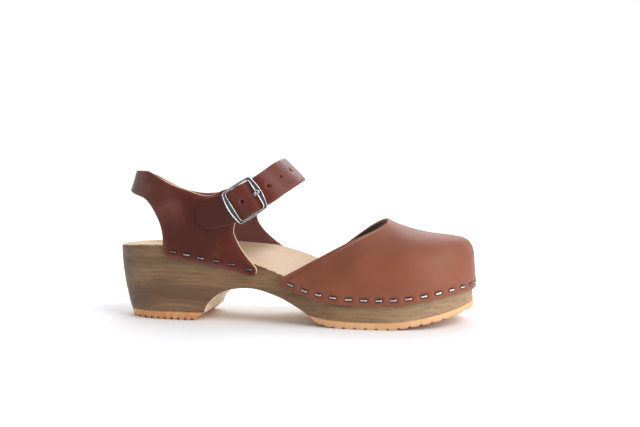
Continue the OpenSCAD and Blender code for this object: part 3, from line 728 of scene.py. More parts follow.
# the colour given after the cut edge's is each leather's painted shade, for the staple dimples and
# the strap's free end
VAMP = leather_material(
    "vamp_leather", deep=srgb(112, 61, 42), mid=srgb(135, 77, 55), light=srgb(153, 96, 76),
    flesh=srgb(84, 66, 64), cut=srgb(146, 100, 80), shade_colour=srgb(72, 40, 32),
    rough=0.5, seed=0.0, gloss=0.24, sheen=0.05)
BROWN = leather_material(
    "brown_leather", deep=srgb(62, 23, 15), mid=srgb(96, 36, 21), light=srgb(138, 84, 74),
    flesh=srgb(128, 82, 78), cut=srgb(228, 198, 164), shade_colour=srgb(40, 20, 18),
    rough=0.42, seed=0.37, gloss=0.18, sheen=0.03)
STRAP = leather_material(
    "strap_leather", deep=srgb(66, 24, 16), mid=srgb(94, 38, 27), light=srgb(116, 62, 51),
    flesh=srgb(104, 62, 56), cut=srgb(138, 90, 72), shade_colour=srgb(62, 14, 9),
    rough=0.38, seed=0.83, gloss=0.24, sheen=0.02)
LINED = lining_material()
PEWTER = metal_material("pewter", srgb(206, 206, 208), srgb(58, 60, 64), 0.2)
WIRE = metal_material("staple_wire", srgb(220, 220, 222), srgb(112, 104, 104), 0.22)
BRASS = metal_material("rivet_metal", srgb(178, 168, 150), srgb(92, 84, 74), 0.3)


# ---------------------------------------------------------------- wood and treads
def even(t0, t1, n, measure):
    """n parameters from t0 to t1 at equal steps of a running measure."""
    t = np.linspace(t0, t1, 6000)
    s = lengths(measure(t))
    return np.interp(np.linspace(0, s[-1], n), s, t)


def wood_piece():
    """The sole as rings across the shoe, with worn rims and softened lower edges."""
    r_low, r_in, r_down = 0.9, 1.7, 1.6        # lower edge, rim inwards, rim downwards
    ts = even(-0.5, LAST / 2, 380,
              lambda t: np.column_stack([rim_xy(t), 1.4 * wood_under(rim_xy(t)[:, 0])]))
    sides = []
    for t in (ts, LAST - ts):
        top = rim_z(t)
        low = wood_under(rim_xy(t)[:, 0])
        for _ in range(3):                             # the wall leans, so its foot is sought
            low = wood_under(wall_pt(t, low)[:, 0])
        q = inward(t)
        rows, mark = [], []
        for s in (0.0, 0.33, 0.62, 0.86):              # lower edge, from the underside out
            a = s * math.pi / 2
            p = wall_pt(t, low + r_low * (1 - math.cos(a)))
            p[:, :2] += q * (r_low * (1 - math.sin(a)))
            rows.append(p)
            mark.append(0.15 if s < 0.5 else 0.75)
        for s in np.linspace(0, 1, 18):                # side wall
            z = mix(low + r_low, top - r_down, s)
            rows.append(wall_pt(t, z))
            mark.append(1.0)
        for s in (0.2, 0.42, 0.64, 0.84, 1.0):         # rim
            a = s * math.pi / 2
            p = rim_xy(t) + q * (r_in * (1 - math.cos(a)))
            rows.append(np.column_stack([p, top - r_down * (1 - math.sin(a))]))
            mark.append(1 - s)
        sides.append((rows, mark))
    (ra, ma), (rb, mb) = sides
    a, b = ra[-1], rb[-1]
    wide = np.minimum(1, np.linalg.norm(b - a, axis=1) / 30)
    cup = level(a[:, 0], CUP_DEPTH) * wide
    bed, under = [], []
    for s in 0.5 - 0.5 * np.cos(np.pi * np.linspace(0, 1, 32)[1:-1]):
        p = mix(a, b, s)
        p[:, 2] -= (1 - abs(2 * s - 1) ** 3) * cup
        bed.append(p)
    for s in np.linspace(0, 1, 12)[1:-1]:
        under.append(mix(rb[0], ra[0], s))
    rows = ra + bed + rb[::-1] + under
    mark = ma + [0.0] * len(bed) + mb[::-1] + [0.0] * len(under)
    rim = [0.0] * (len(ra) - 3) + [0.5, 0.8, 1.0]
    bed_mark = rim + [1.0] * len(bed) + rim[::-1] + [0.0] * len(under)
    m, n = len(ts), len(rows)
    verts = np.stack(rows, 1).reshape(-1, 3)
    return to_mesh("wood_body", verts, rings_faces(m, n), 50,
                   {"stained": np.tile(mark, m), "bed": np.tile(bed_mark, m)}, WOOD)


def tread_piece(name, x0, x1, under, top, corners, n):
    """A rubber tread: rings across the shoe between the wood and a toothed underside."""
    t_all = np.linspace(-0.5, LAST / 2, 20000)
    x_all = wall_pt(t_all, under(rim_xy(t_all)[:, 0]))[:, 0]
    keep = (x_all >= x0) & (x_all <= x1)
    t_all, x_all = t_all[keep], x_all[keep]
    order = np.argsort(x_all)
    at = np.interp([c for c in corners if x_all.min() < c < x_all.max()], x_all[order],
                   t_all[order])
    ts = np.unique(np.concatenate([np.linspace(t_all[0], t_all[-1], n), at]))
    sides = []
    for t in (ts, LAST - ts):
        x = wall_pt(t, under(rim_xy(t)[:, 0]))[:, 0]
        low, high = under(x), np.maximum(top(x), under(x) + 0.01)
        steps = []
        for s in (0, 0.04, 0.2, 0.5, 0.8, 0.97, 1):
            p = wall_pt(t, mix(low, high, s))
            tuck = 0.25 if s in (0, 1) else 0.0
            p[:, :2] += inward(t) * (tuck - 0.15 * math.sin(math.pi * s))
            p[:, 0] = np.where(np.abs(inward(t)[:, 0]) < 0.35, x, p[:, 0])
            steps.append(p)
        sides.append(steps)
    a, b = sides
    across = np.linspace(0, 1, 16)[1:-1]
    bottom = [mix(b[0], a[0], s) for s in across]
    upper = [mix(a[-1], b[-1], s) for s in across]
    rows = a + upper + b[::-1] + bottom
    mark = [1, .8, .3, 0, 0, 0, 0] + [0] * len(upper) + [0, 0, 0, 0, .3, .8, 1]
    mark += [1] * len(bottom)
    verts = np.stack(rows, 1).reshape(-1, 3)
    m, k = len(ts), len(rows)
    return to_mesh(name, verts, solid_faces(m, k), 28, {"tread": np.tile(mark, m)}, RUBBER)


def zigzag(points):
    """Height at x along straight lines through (x, z) points."""
    p = np.array(points, float)
    return lambda x: np.interp(x, p[:, 0], p[:, 1])


wood = wood_piece()
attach(wood, "clog")
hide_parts("wood_sole")

# The heel has saw teeth, the forefoot low ribs.
TEETH, TOOTH_PITCH, TOOTH_DEPTH, HEEL_TREAD_FRONT = 10, 5.05, 1.9, 64.6
RIBS, RIB_PITCH, RIB_DEPTH = 15, 7.2, 1.1
teeth = [(-5, 0)]
for i in range(TEETH):
    x = 7 + i * TOOTH_PITCH
    teeth += [(x, 0), (x + 0.42 * TOOTH_PITCH, 0), (x + 0.72 * TOOTH_PITCH, TOOTH_DEPTH)]
teeth += [(57.5, 0), (HEEL_TREAD_FRONT, HEEL_TREAD_TOP), (70, HEEL_TREAD_TOP)]
heel_tread = tread_piece("rubber_heel", -9, HEEL_TREAD_FRONT, zigzag(teeth),
                         lambda x: HEEL_TREAD_TOP + 0 * x, [p[0] for p in teeth], 150)


def ground(x):
    return max(0, level(x, GROUND_FACE))


ribs = [(139.5, 7.2)]
for i in range(RIBS):
    x = 144 + RIB_PITCH * i
    ribs += [(x, ground(x)), (x + 4, ground(x + 4)), (x + 5.6, ground(x + 5.6) + RIB_DEPTH)]
ribs += [(252, 11.4)]
fore_tread = tread_piece("rubber_forefoot", 139.6, 260, zigzag(ribs),
                         lambda x: level(x, TREAD_FACE), [p[0] for p in ribs], 220)
for ob, nd in ((heel_tread, "heel_tread"), (fore_tread, "forefoot_tread")):
    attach(ob, "clog")
    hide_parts(nd)


# ---------------------------------------------------------------- staples
CROWN, WIRE_D, PITCH = 5.0, 1.1, 10.1
FIRST_STAPLE, STAPLE_INSET = VAMP_T0 + 0.3, 3.9
OUTER_COUNT, TOE_COUNT, INNER_COUNT = 13, 4, 12
SEATED = 0.1          # how far a crown's middle lies in the leather


def walk(t, step, n):
    """The vamp's parameter n steps along its foot from t."""
    for _ in range(n):
        t += step / np.linalg.norm(rim_xy(foot_t(t + 0.01)) - rim_xy(foot_t(t - 0.01))) * 0.02
    return t


def vamp_edge(t):
    return vamp_pt(t, 0.0, SEATED) + np.array([0, 0, STAPLE_INSET])


def vamp_staple_spots():
    """Place, direction of the crown and direction of the legs of each vamp staple."""
    spots = []
    for i in range(OUTER_COUNT + TOE_COUNT + INNER_COUNT):
        t = float(walk(FIRST_STAPLE, PITCH, i))
        a = unit(vamp_edge(t + 0.03) - vamp_edge(t - 0.03))
        spots.append((vamp_edge(t), a, -unit(np.cross(a, [0, 0, 1.0]))))
    return spots


# The quarter's staples on either side, (x, z).
QUARTER_SPOTS = [(43.5, 48.2), (54, 46.2), (64.3, 44.1), (74.8, 42.3), (85.8, 40.1), (98, 36.9)]
QUARTER_SPOTS_IN = [(43.5, 48.6), (55.5, 47.8), (67.5, 46.9), (79.5, 46.2), (91.5, 45.4),
                    (104.5, 44.3)]


def quarter_staple_spots(spots, u0, du, s):
    """The same along one side of the quarter. Its wall is at x = 98 where u is u0."""
    out = []
    for x, z in spots:
        u = u0 + (98 - x) * du
        a = quarter_pt(u, z, SEATED - LEATHER)
        b = quarter_pt(u + 0.1 * s, z - 0.35, SEATED - LEATHER)
        along = unit(b - a)
        into = np.array([0.0, -s, 0.0])
        out.append((a, along * s, into - along * along.dot(into)))
    return out


VAMP_SPOTS = vamp_staple_spots()
OUTER_SPOTS = quarter_staple_spots(QUARTER_SPOTS, 1, 0.05, -1)
INNER_SPOTS = quarter_staple_spots(QUARTER_SPOTS_IN, 15, -0.05, 1)


def staple_mesh(name, spots, seed, tone):
    """Flattened wire staples with rounded shoulders, each seated and darkened differently, with
    painted shade along the crown's flanks.
    """
    verts, faces, hollow = [], [], []
    sides = 12
    r, flattened = WIRE_D / 2, 0.78
    half = (CROWN - WIRE_D) / 2
    bend, leg = 0.55, 6.8
    path = [(-half, leg), (-half, 3.0), (-half, bend + 0.3)]
    path += [(-half + bend - bend * math.cos(a), bend - bend * math.sin(a))
             for a in np.linspace(0, math.pi / 2, 5)]
    path += [(x, 0) for x in (-half / 2, 0)]
    path += [(-x, d) for x, d in path[-2::-1]]
    path = np.array(path)
    tan = unit(np.gradient(path, axis=0))
    for k, (at, along, into) in enumerate(spots):
        up = np.cross(into, along)
        turn = math.radians(5 * (hash01(k, seed) - 0.5))
        along2 = along * math.cos(turn) + up * math.sin(turn)
        up2 = np.cross(into, along2)
        first_dimmer = 0.3 if k == 0 else 0
        dimness = tone + 0.22 * hash01(k, seed + 7) + first_dimmer
        base = len(verts)
        for p, d in zip(path, tan):
            c = at + along2 * p[0] + into * (p[1] - 0.02)
            nrm = along2 * -d[1] + into * d[0]
            for j in range(sides):
                a = 2 * math.pi * j / sides
                verts.append(c + up2 * r * math.cos(a) + nrm * r * flattened * math.sin(a))
                # painted shade: the crown's flanks are darkened; the first staple is darker still
                hollow.append(0.75 if p[1] > 0.5 else dimness + 0.35 * abs(math.cos(a)) ** 4)
        faces += solid_faces(len(path), sides, base)
    return to_mesh(name, verts, faces, 60, {"hollow": hollow}, WIRE)


# the toe staples are dimmer, as painted shade of their recess; the quarter's staples share that
# tone
TOE_SPOTS = slice(OUTER_COUNT, OUTER_COUNT + TOE_COUNT)
BRIGHT, DIM_TONE = 0.08, 0.5
for name, nd, spots, seed, tone in (
        ("staples_vamp_outer", "vamp_staples_lateral", VAMP_SPOTS[:OUTER_COUNT], 1, BRIGHT),
        ("staples_vamp_toe", "vamp_staples_toe", VAMP_SPOTS[TOE_SPOTS], 2, DIM_TONE),
        ("staples_vamp_inner", "vamp_staples_medial", VAMP_SPOTS[-INNER_COUNT:], 3, BRIGHT),
        ("staples_quarter_outer", "quarter_staples_lateral", OUTER_SPOTS, 4, DIM_TONE),
        ("staples_quarter_inner", "quarter_staples_medial", INNER_SPOTS, 5, DIM_TONE)):
    ob = staple_mesh(name, spots, seed, tone)
    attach(ob, "clog")
    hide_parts(nd)


# ---------------------------------------------------------------- leather
def waves3(p, size, k):
    """Gentle repeatable lumps over points p, from -1 to 1."""
    q = p / size
    return (np.sin(q[..., 0] * 1.3 + 1.7 * k + np.sin(q[..., 1] * 0.9 + k))
            * np.sin(q[..., 2] * 1.1 + 2.3 * k + np.sin(q[..., 0] * 0.7 + 0.5 * k)) * 0.6
            + 0.4 * np.sin(q[..., 1] * 1.9 + q[..., 0] * 0.6 + q[..., 2] * 1.4 + 3.1 * k))


def dimples(p, spots, depth, along_r, across_r):
    """How far the leather sinks round each staple."""
    sink = np.zeros(len(p))
    for at, along, _ in spots:
        d = p - at
        a = d @ along
        b = np.linalg.norm(d - a[:, None] * along, axis=1)
        sink += depth * np.exp(-(a / along_r) ** 4 - (b / across_r) ** 2)
    return sink


def near_edge(faces, pts, reach):
    """1 at a sheet's edge falling to 0 at reach from it."""
    rim = np.array([i for loop in boundary_loops(faces) for i in loop])
    d = np.full(len(pts), 1e9)
    for chunk in np.array_split(rim, max(1, len(rim) // 64)):
        d = np.minimum(d, np.linalg.norm(pts[:, None] - pts[chunk][None], axis=2).min(1))
    return np.clip(1 - d / reach, 0, 1)


def merged(pts, faces, dist=0.004):
    """Points and faces with repeated points joined."""
    key = np.round(pts / dist).astype(int)
    _, first, back = np.unique(key, axis=0, return_index=True, return_inverse=True)
    back = back.ravel()
    out = []
    for f in faces:
        g = []
        for i in (back[j] for j in f):
            if i not in g:
                g.append(int(i))
        if len(g) > 2:
            out.append(tuple(g))
    return first, out


def vamp_grid(t0, t1, v0, off, nt, nv):
    """Surface points in even steps round the foot, and the v of each column up it."""
    ts = even(t0, t1, nt, rim_xy)
    ts = (ts + (LAST - ts[::-1])) / 2               # alike on both sides
    w = 0.5 - 0.5 * np.cos(np.pi * np.linspace(0, 1, nv))
    if v0 < RIM_V:
        v = np.concatenate([np.linspace(v0, RIM_V, 17)[:-1], RIM_V + (1 - RIM_V) * w])
    else:
        v = v0 + (1 - v0) * w
    return vamp_pt(ts[:, None], v[None, :], off), v


def vamp_sheet(t0, t1, v0, off, deep, nt, nv):
    """Both sides of a sheet in the vamp from off to deep, joined over the ridge, with its v."""
    p, v = vamp_grid(t0, t1, v0, off, nt, nv)
    q, _ = vamp_grid(t0, t1, v0, deep, nt, nv)
    m, n = p.shape[:2]
    first, faces = merged(p.reshape(-1, 3), rings_faces(m, n, close=False))
    return p.reshape(-1, 3)[first], q.reshape(-1, 3)[first], faces, np.tile(v, m)[first]


def vamp_piece():
    """The vamp: pulled in at its staples, puffed between them and softly folded at the rim."""
    p, q, faces, v = vamp_sheet(VAMP_T0, VAMP_T1, 0.0, 0.0, LEATHER, 361, 44)
    out = unit(p - q)
    sink = dimples(p, VAMP_SPOTS, 1.0, 3.3, 2.0)
    puff = 0.35 * np.exp(-((v - 0.12) / 0.1) ** 2) * (0.75 + 0.25 * waves3(p, 3.1, 1))
    fold = 0.3 * np.exp(-((v - 0.27) / 0.05) ** 2)
    lumps = 0.12 * waves3(p, 19, 2) + 0.06 * waves3(p, 8, 3)
    edge = near_edge(faces, p, 2.2)
    lumps = lumps * (1 - edge) - 0.1 * edge * (0.5 + 0.5 * waves3(p, 4, 5))
    # the stapled edge is drawn up a little at each staple
    lift = 0.5 * dimples(p, VAMP_SPOTS, 1.0, 3.0, 6.0) * np.exp(-(v / 0.06) ** 2)
    p = p + out * ((puff - fold) * (1 - edge) + lumps - np.minimum(sink, 1.0))[:, None]
    rise = np.outer(lift, [0, 0, 1.0])
    p, q = p + rise, q + rise
    # painted shade: the leather is darkened where it sinks round the staples
    marks = {"wear_and_sheen": 0.5 * edge, "shaded": np.clip(sink, 0, 1)}
    verts, faces, marks = thick(p, q, faces, 0.6, marks)
    return to_mesh("vamp_shell", verts, faces, None, marks, VAMP)


vamp = vamp_piece()
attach(vamp, "clog")
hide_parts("vamp")


def lining_piece():
    """The lining: a little short of the vamp's throat, starting just above the rim."""
    off, short = LEATHER + 0.35, 0.12
    p, q, faces, _ = vamp_sheet(VAMP_T0 + short, VAMP_T1 - short, 0.27, off, off + LINING, 121, 40)
    shift = unit(p - q) * (0.1 * waves3(p, 9, 4))[:, None]
    verts, faces, marks = thick(p, q + np.minimum(shift, 0), faces, 0.25, {})
    return to_mesh("vamp_inside", verts, faces, None, marks, LINED)


lining = lining_piece()
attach(lining, "clog")
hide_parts("vamp_lining")


HEEL_U = 8              # where the quarter's wall passes the back of the heel
HEEL_BAND_MID = 97      # a height between the back band's two edges


def side_outline(points, u0, u1):
    """A side of the quarter as (u, z) along its wall, from the back along the top to the front
    and back along the bottom, open at the heel."""
    n = 900
    us = np.linspace(u0, u1, n)
    out = []
    for x, z in ring(points, np.linspace(0, len(points), len(points) * 6 + 1)[:-1]):
        xs = quarter_path(us, np.full(n, z))[:, 0]
        order = np.argsort(xs)
        if x > xs.min() + 0.2:
            out.append((np.interp(x, xs[order], us[order]), z))
    out = np.array(out)
    start = np.argmin(np.abs(out[:, 0] - HEEL_U) + (out[:, 1] < HEEL_BAND_MID) * 99)
    return np.roll(out, -start, 0)


def quarter_piece():
    """The quarter: cut flat as one sheet, wrapped round the heel, then worked."""
    outer = side_outline(QUARTER_OUTER, 0.0, HEEL_U)
    inner = side_outline(QUARTER_INNER, HEEL_U, 2 * HEEL_U)
    n = 2000
    us = np.linspace(-0.5, 2 * HEEL_U + 0.5, n)
    s_of = lengths(quarter_path(us, np.full(n, 72.0)))
    loop = np.vstack([outer, inner[::-1]])
    loop[:, 0] = np.interp(loop[:, 0], us, s_of)
    loop = spaced(loop, 0.5)
    for _ in range(3):
        loop = (np.roll(loop, 1, 0) + 2 * loop + np.roll(loop, -1, 0)) / 4
    loop = spaced(loop, 1.25)
    flat, faces = sheet2d(loop, [], 1.7)
    u, z = np.interp(flat[:, 0], s_of, us), flat[:, 1]
    p, q = quarter_pt(u, z, -LEATHER), quarter_pt(u, z, 0.0)
    faces = facing(faces, p, q)
    out = unit(p - q)
    edge = near_edge(faces, p, 4.0)
    sink = dimples(p, OUTER_SPOTS + INNER_SPOTS, 0.9, 3.2, 1.9)
    low = np.exp(-((z - 40) / 9) ** 2)
    lumps = 0.2 * waves3(p, 19, 6) + 0.08 * waves3(p, 8, 7) + 0.12 * low * waves3(p, 4.5, 8)
    # the standing leather bows a little between the wood and the top edge
    bow = 0.35 * np.sin(np.clip((z - 50) / 40, 0, 1) * math.pi)
    shift = lumps * (1 - 0.6 * edge) + bow * (1 - edge)
    p = p + out * (np.clip(shift, -0.4, 0.6) - sink)[:, None]
    q = q + out * np.clip(shift, 0, 0.6)[:, None]
    # below the rim the flesh side is pressed onto the wood
    outside = p[:, 1] < 0
    rim = np.where(outside, level(p[:, 0], RIM_OUTER), level(p[:, 0], RIM_INNER))
    press = np.where(outside, 0.5, 1.2) * ease((rim - z + 0.8) / 2.4)
    q = q - out * press[:, None]
    # painted sheen: lighter over the quarter's upper back near the heel; painted shade: darker
    # round the staples
    lightening = 0.9 * np.clip((56 - p[:, 0]) / 26, 0, 1) * np.clip((z - 55) / 20, 0, 1)
    marks = {"wear_and_sheen": np.maximum(edge, lightening), "shaded": np.clip(sink, 0, 1)}
    verts, faces, marks = thick(p, q, faces, 0.55, marks)
    # the cut edge is darker along the wood and round the back band
    x, z = verts[:, 0], verts[:, 2]
    foot = np.where(verts[:, 1] < 0, np.interp(x, [43.7, 99.5], [43.8, 32.8]),
                    np.interp(x, [43.7, 106], [44.2, 39.8]))
    bare = np.minimum(ease((z - foot - 0.8) / 1.4), np.where(z > 84, ease((x - 30) / 16), 1))
    marks["cut"] = marks["cut"] * mix(0.6, 1, bare)
    return to_mesh("quarter_wrap", verts, faces, None, marks, BROWN)


quarter = quarter_piece()
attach(quarter, "clog")
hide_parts("heel_quarter")


# ---------------------------------------------------------------- strap
HOLE_R = 1.5


def punched_hole(x, n=22):
    """Points round a hole at (x, 0)."""
    a = np.arange(n) * 2 * math.pi / n
    return np.stack([x + HOLE_R * np.cos(a), HOLE_R * np.sin(a)], 1)[::-1]


def strap_piece():
    """One strap from its rounded free end through the buckle to its riveted end."""
    ts = np.linspace(0.5, len(STRAP_LINE) - 1, 3000)
    s_of = lengths(thru(STRAP_LINE, ts))
    s0, s1, *holes = np.interp([STRAP_T0, STRAP_T1, *HOLES], ts, s_of)
    half = STRAP_W / 2
    tip = [(s0 + half * (1 - math.sin(a)), half * math.cos(a))
           for a in np.linspace(0, math.pi, 48)]
    loop = np.array(tip + [(s1 - 2.5, -half), (s1 - 0.7, -half + 0.7), (s1, -half + 2.5),
                           (s1, half - 2.5), (s1 - 0.7, half - 0.7), (s1 - 2.5, half)])
    loop = spaced(loop, 1.1)
    flat, faces = sheet2d(loop, [punched_hole(x) for x in holes], 1.25)
    t = np.interp(flat[:, 0], s_of, ts)
    c, w, _, o = strap_frame(t)
    y = flat[:, 1][:, None]
    p = c + w * y + o * (STRAP_T / 2)
    q = c + w * y - o * (STRAP_T / 2)
    faces = facing(faces, p, q)
    out = unit(p - q)
    edge = near_edge(faces, p, 2.4)
    side = np.abs(flat[:, 1]) / half
    crown = 0.12 * (1 - side ** 2)
    lumps = 0.1 * waves3(p, 11, 9) * (1 - edge)
    p = p + out * (crown * (1 - edge) + lumps)[:, None]
    # the edges turn slightly in and out along the strap
    sway = 0.12 * np.sin(flat[:, 0] / 6.1) * side ** 2
    p, q = p + out * sway[:, None], q + out * sway[:, None]
    # painted shade: the free end is painted darker, and its edge isn't rubbed lighter
    tail = 0.8 * (1 - ease((t - 3.4) / 2))
    marks = {"wear_and_sheen": edge * (1 - tail), "shaded": tail}
    verts, faces, marks = thick(p, q, faces, 0.45, marks)
    return to_mesh("ankle_strap_band", verts, faces, None, marks, STRAP)


strap = strap_piece()
# The place where the strap leaves the rivets, which nothing below uses; the line leans so that its
# free end, on the other side of the shoe, lies past that place.
fold = (thru(STRAP_LINE, STRAP_FOLD) - MIDDLE) * MM
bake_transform(strap)
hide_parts("ankle_strap", "strap_end", "strap_anchor")


# ---------------------------------------------------------------- buckle
def frame_plan(n):
    """Inner and outer outlines of the frame, met by the same n rays from its middle."""
    def box(x, y, hx, hy, r):
        """Distance to a rounded rectangle, negative inside it."""
        qx, qy = np.abs(x) - hx + r, np.abs(y) - hy + r
        return np.hypot(np.maximum(qx, 0), np.maximum(qy, 0)) + np.minimum(
            np.maximum(qx, qy), 0) - r

    hl, hw = FRAME_IN / 2, FRAME_ACROSS / 2
    end_r, rail_r = 36, 105               # both bars and both rails bow outwards
    a = np.arange(n) * 2 * math.pi / n

    def hit(dist):
        """Where each ray leaves a shape, found by halving."""
        lo, hi = np.zeros(n), np.full(n, 40.0)
        for _ in range(45):
            m = (lo + hi) / 2
            inside = dist(m * np.cos(a), m * np.sin(a)) < 0
            lo, hi = np.where(inside, m, lo), np.where(inside, hi, m)
        return np.stack([lo * np.cos(a), lo * np.sin(a)], 1)

    def outer(x, y):
        d = box(x, y, hl + BOW, hw + RAIL, 5)
        for s in (-1, 1):
            d = np.maximum(d, np.hypot(x - s * (end_r - hl - BOW), y) - end_r)
            d = np.maximum(d, np.hypot(x, y - s * (rail_r - hw - RAIL)) - rail_r)
        return d

    return hit(lambda x, y: box(x, y, hl, hw, 2.5)), hit(outer)


def arc(r, a0, a1, n):
    """n points of an arc round (0, 0), from a0 to a1 half turns."""
    return [(r * math.cos(a), r * math.sin(a)) for a in np.linspace(a0, a1, n) * math.pi]


def buckle_frame():
    """Cast frame: two bright ridges round a darkened hollow that widens at both ends."""
    n = 320
    i, o = frame_plan(n)
    for _ in range(2):
        i = (np.roll(i, 1, 0) + 2 * i + np.roll(i, -1, 0)) / 4
        o = (np.roll(o, 1, 0) + 2 * o + np.roll(o, -1, 0)) / 4
    d = o - i
    w = np.linalg.norm(d, axis=1)
    d /= w[:, None]
    low, top, ridge_w = 1.8, 3.35, 0.66
    deep = np.clip(0.22 + 0.2 * (w - 1.7), 0.2, 0.85)
    # the section, over the inner ridge, the hollow and the outer ridge: depth in from either
    # side, height, and how dark it is
    ridge = [(0.22, low, 0), (0.05, low + 0.1, 0), (0, low + 0.35, 0), (0, top - 0.5, 0),
             (0.06, top - 0.22, 0), (0.2, top - 0.05, 0), (0.36, top, 0),
             (0.5, top - 0.04, 0.05), (ridge_w, top - 0.16, 0.5)]
    rows = [(i + d * r, z, h) for r, z, h in ridge]
    for f in (0.3, 0.42, 0.5, 0.58, 0.7):
        u = (f - 0.2) / 0.6
        dish = top - 0.16 - deep * np.sin(math.pi * np.clip(u, 0, 1)) ** 0.7
        rows.append((i + d * (ridge_w + (w - 2 * ridge_w) * u)[:, None], dish, 1.0))
    rows += [(i + d * (w - r)[:, None], z, h) for r, z, h in ridge[::-1]]
    pts = np.stack([np.column_stack([c, np.broadcast_to(z, n)]) for c, z, _ in rows], 1)
    k = len(rows)
    faces = [(a * k + j, ((a + 1) % n) * k + j, ((a + 1) % n) * k + (j + 1) % k,
              a * k + (j + 1) % k) for a in range(n) for j in range(k)]
    verts = at_buckle(pts.reshape(-1, 3)).tolist()
    hollow = [h for _, _, h in rows] * n
    # an eye under each rail carries the centre bar
    r = 1.85
    prof = arc(r, -1, 0, 25) + [(r, 1.2), (1.5, 2.2), (-1.5, 2.2), (-r, 1.2)]
    levels = ((-0.65, 0.86), (-0.6, 0.95), (-0.45, 1), (0.45, 1), (0.6, 0.95), (0.65, 0.86))
    for s in (-1, 1):
        yc = s * (FRAME_ACROSS / 2 + 0.45)
        base = len(verts)
        for y, f in levels:
            for x, z in prof:
                verts.append(at_buckle([x * f, yc + y, z * (f if z < 1 else 1)]).tolist())
                hollow.append(0.45)
        faces += solid_faces(len(levels), len(prof), base)
    return to_mesh("buckle_rim", verts, faces, 55, {"hollow": hollow}, PEWTER)


def tube(path, radii, across, flat, n, base=0):
    """Rings round a path: radii are half widths along across, flat half thicknesses."""
    path, across = np.asarray(path, float), np.asarray(across, float)
    tan = unit(np.gradient(path, axis=0))
    nrm = unit(np.cross(tan, across))
    a = np.arange(n) * 2 * math.pi / n
    ca, sa = np.cos(a), np.sin(a)
    ca, sa = np.sign(ca) * np.abs(ca) ** 0.8, np.sign(sa) * np.abs(sa) ** 0.8
    pts = (path[:, None] + across * (np.asarray(radii)[:, None] * ca)[..., None]
           + nrm[:, None] * (np.asarray(flat)[:, None] * sa)[..., None])
    return pts.reshape(-1, 3), solid_faces(len(path), n, base)


def buckle_prong():
    """Tongue rolled round the bar, under the strap, up through a hole to a curled tip."""
    eye = arc(1.5, 0.55, 2.1, 30)
    shank = [(2.6, 0.42), (4.2, 0.2), (5.6, -0.35), (6.9, -0.6), (7.6, 0.2), (7.95, 2.3),
             (8.55, 3.9), (9.6, 4.05), (10.2, 4.05)]
    ctrl = np.array(eye + shank)
    path = thru(ctrl, np.linspace(0, len(ctrl) - 1, 130))
    m = len(path)
    u = np.linspace(0, 1, m)
    rad = np.interp(u, [0, 0.7, 0.8, 0.93, 1], [1.15, 1.15, 0.78, 0.78, 0.7])
    half = np.interp(u, [0, 0.75, 0.85, 1], [0.36, 0.36, 0.56, 0.5])
    path = np.column_stack([path[:, 0], np.zeros(m), path[:, 1]])
    pts, faces = tube(path, rad, [0, 1.0, 0], half, 16)
    pts = pts.tolist()
    hollow = [0.12 + 0.3 * (p[0] < 3.0) for p in pts]
    # the tip: a small dished button with a raised rim that curls in to the middle
    tip_x = 10.4
    base = len(pts)
    prof = [(1.3, 3.42), (1.7, 3.5), (1.88, 3.75), (1.86, 4.2), (1.72, 4.6), (1.45, 4.82),
            (1.18, 4.78), (0.98, 4.5), (0.8, 4.32), (0.4, 4.26)]
    k = 40
    for r, z in prof:
        for j in range(k):
            a = 2 * math.pi * j / k
            pts.append([tip_x + r * math.cos(a), r * math.sin(a), z])
            hollow.append(1.0 if r < 1.1 and z > 4.2 else 0.7 if r > 1.8 else 0.05)
    faces += solid_faces(len(prof), k, base)
    turn = np.linspace(0, 1, 30)
    r = 1.35 - 1.05 * turn
    a = 5.2 * turn + 2.2
    curl = np.column_stack([tip_x + r * np.cos(a), r * np.sin(a), 4.72 - 0.28 * ease(turn * 1.5)])
    wire = np.linspace(0.26, 0.2, len(curl))
    curl_pts, curl_faces = tube(curl, wire, [0, 0, 1.0], wire, 10, len(pts))
    hollow += [0.0] * len(curl_pts)
    faces += curl_faces
    pts = at_buckle(np.vstack([pts, curl_pts]))
    return to_mesh("buckle_tongue", pts, faces, 60, {"hollow": hollow}, PEWTER)


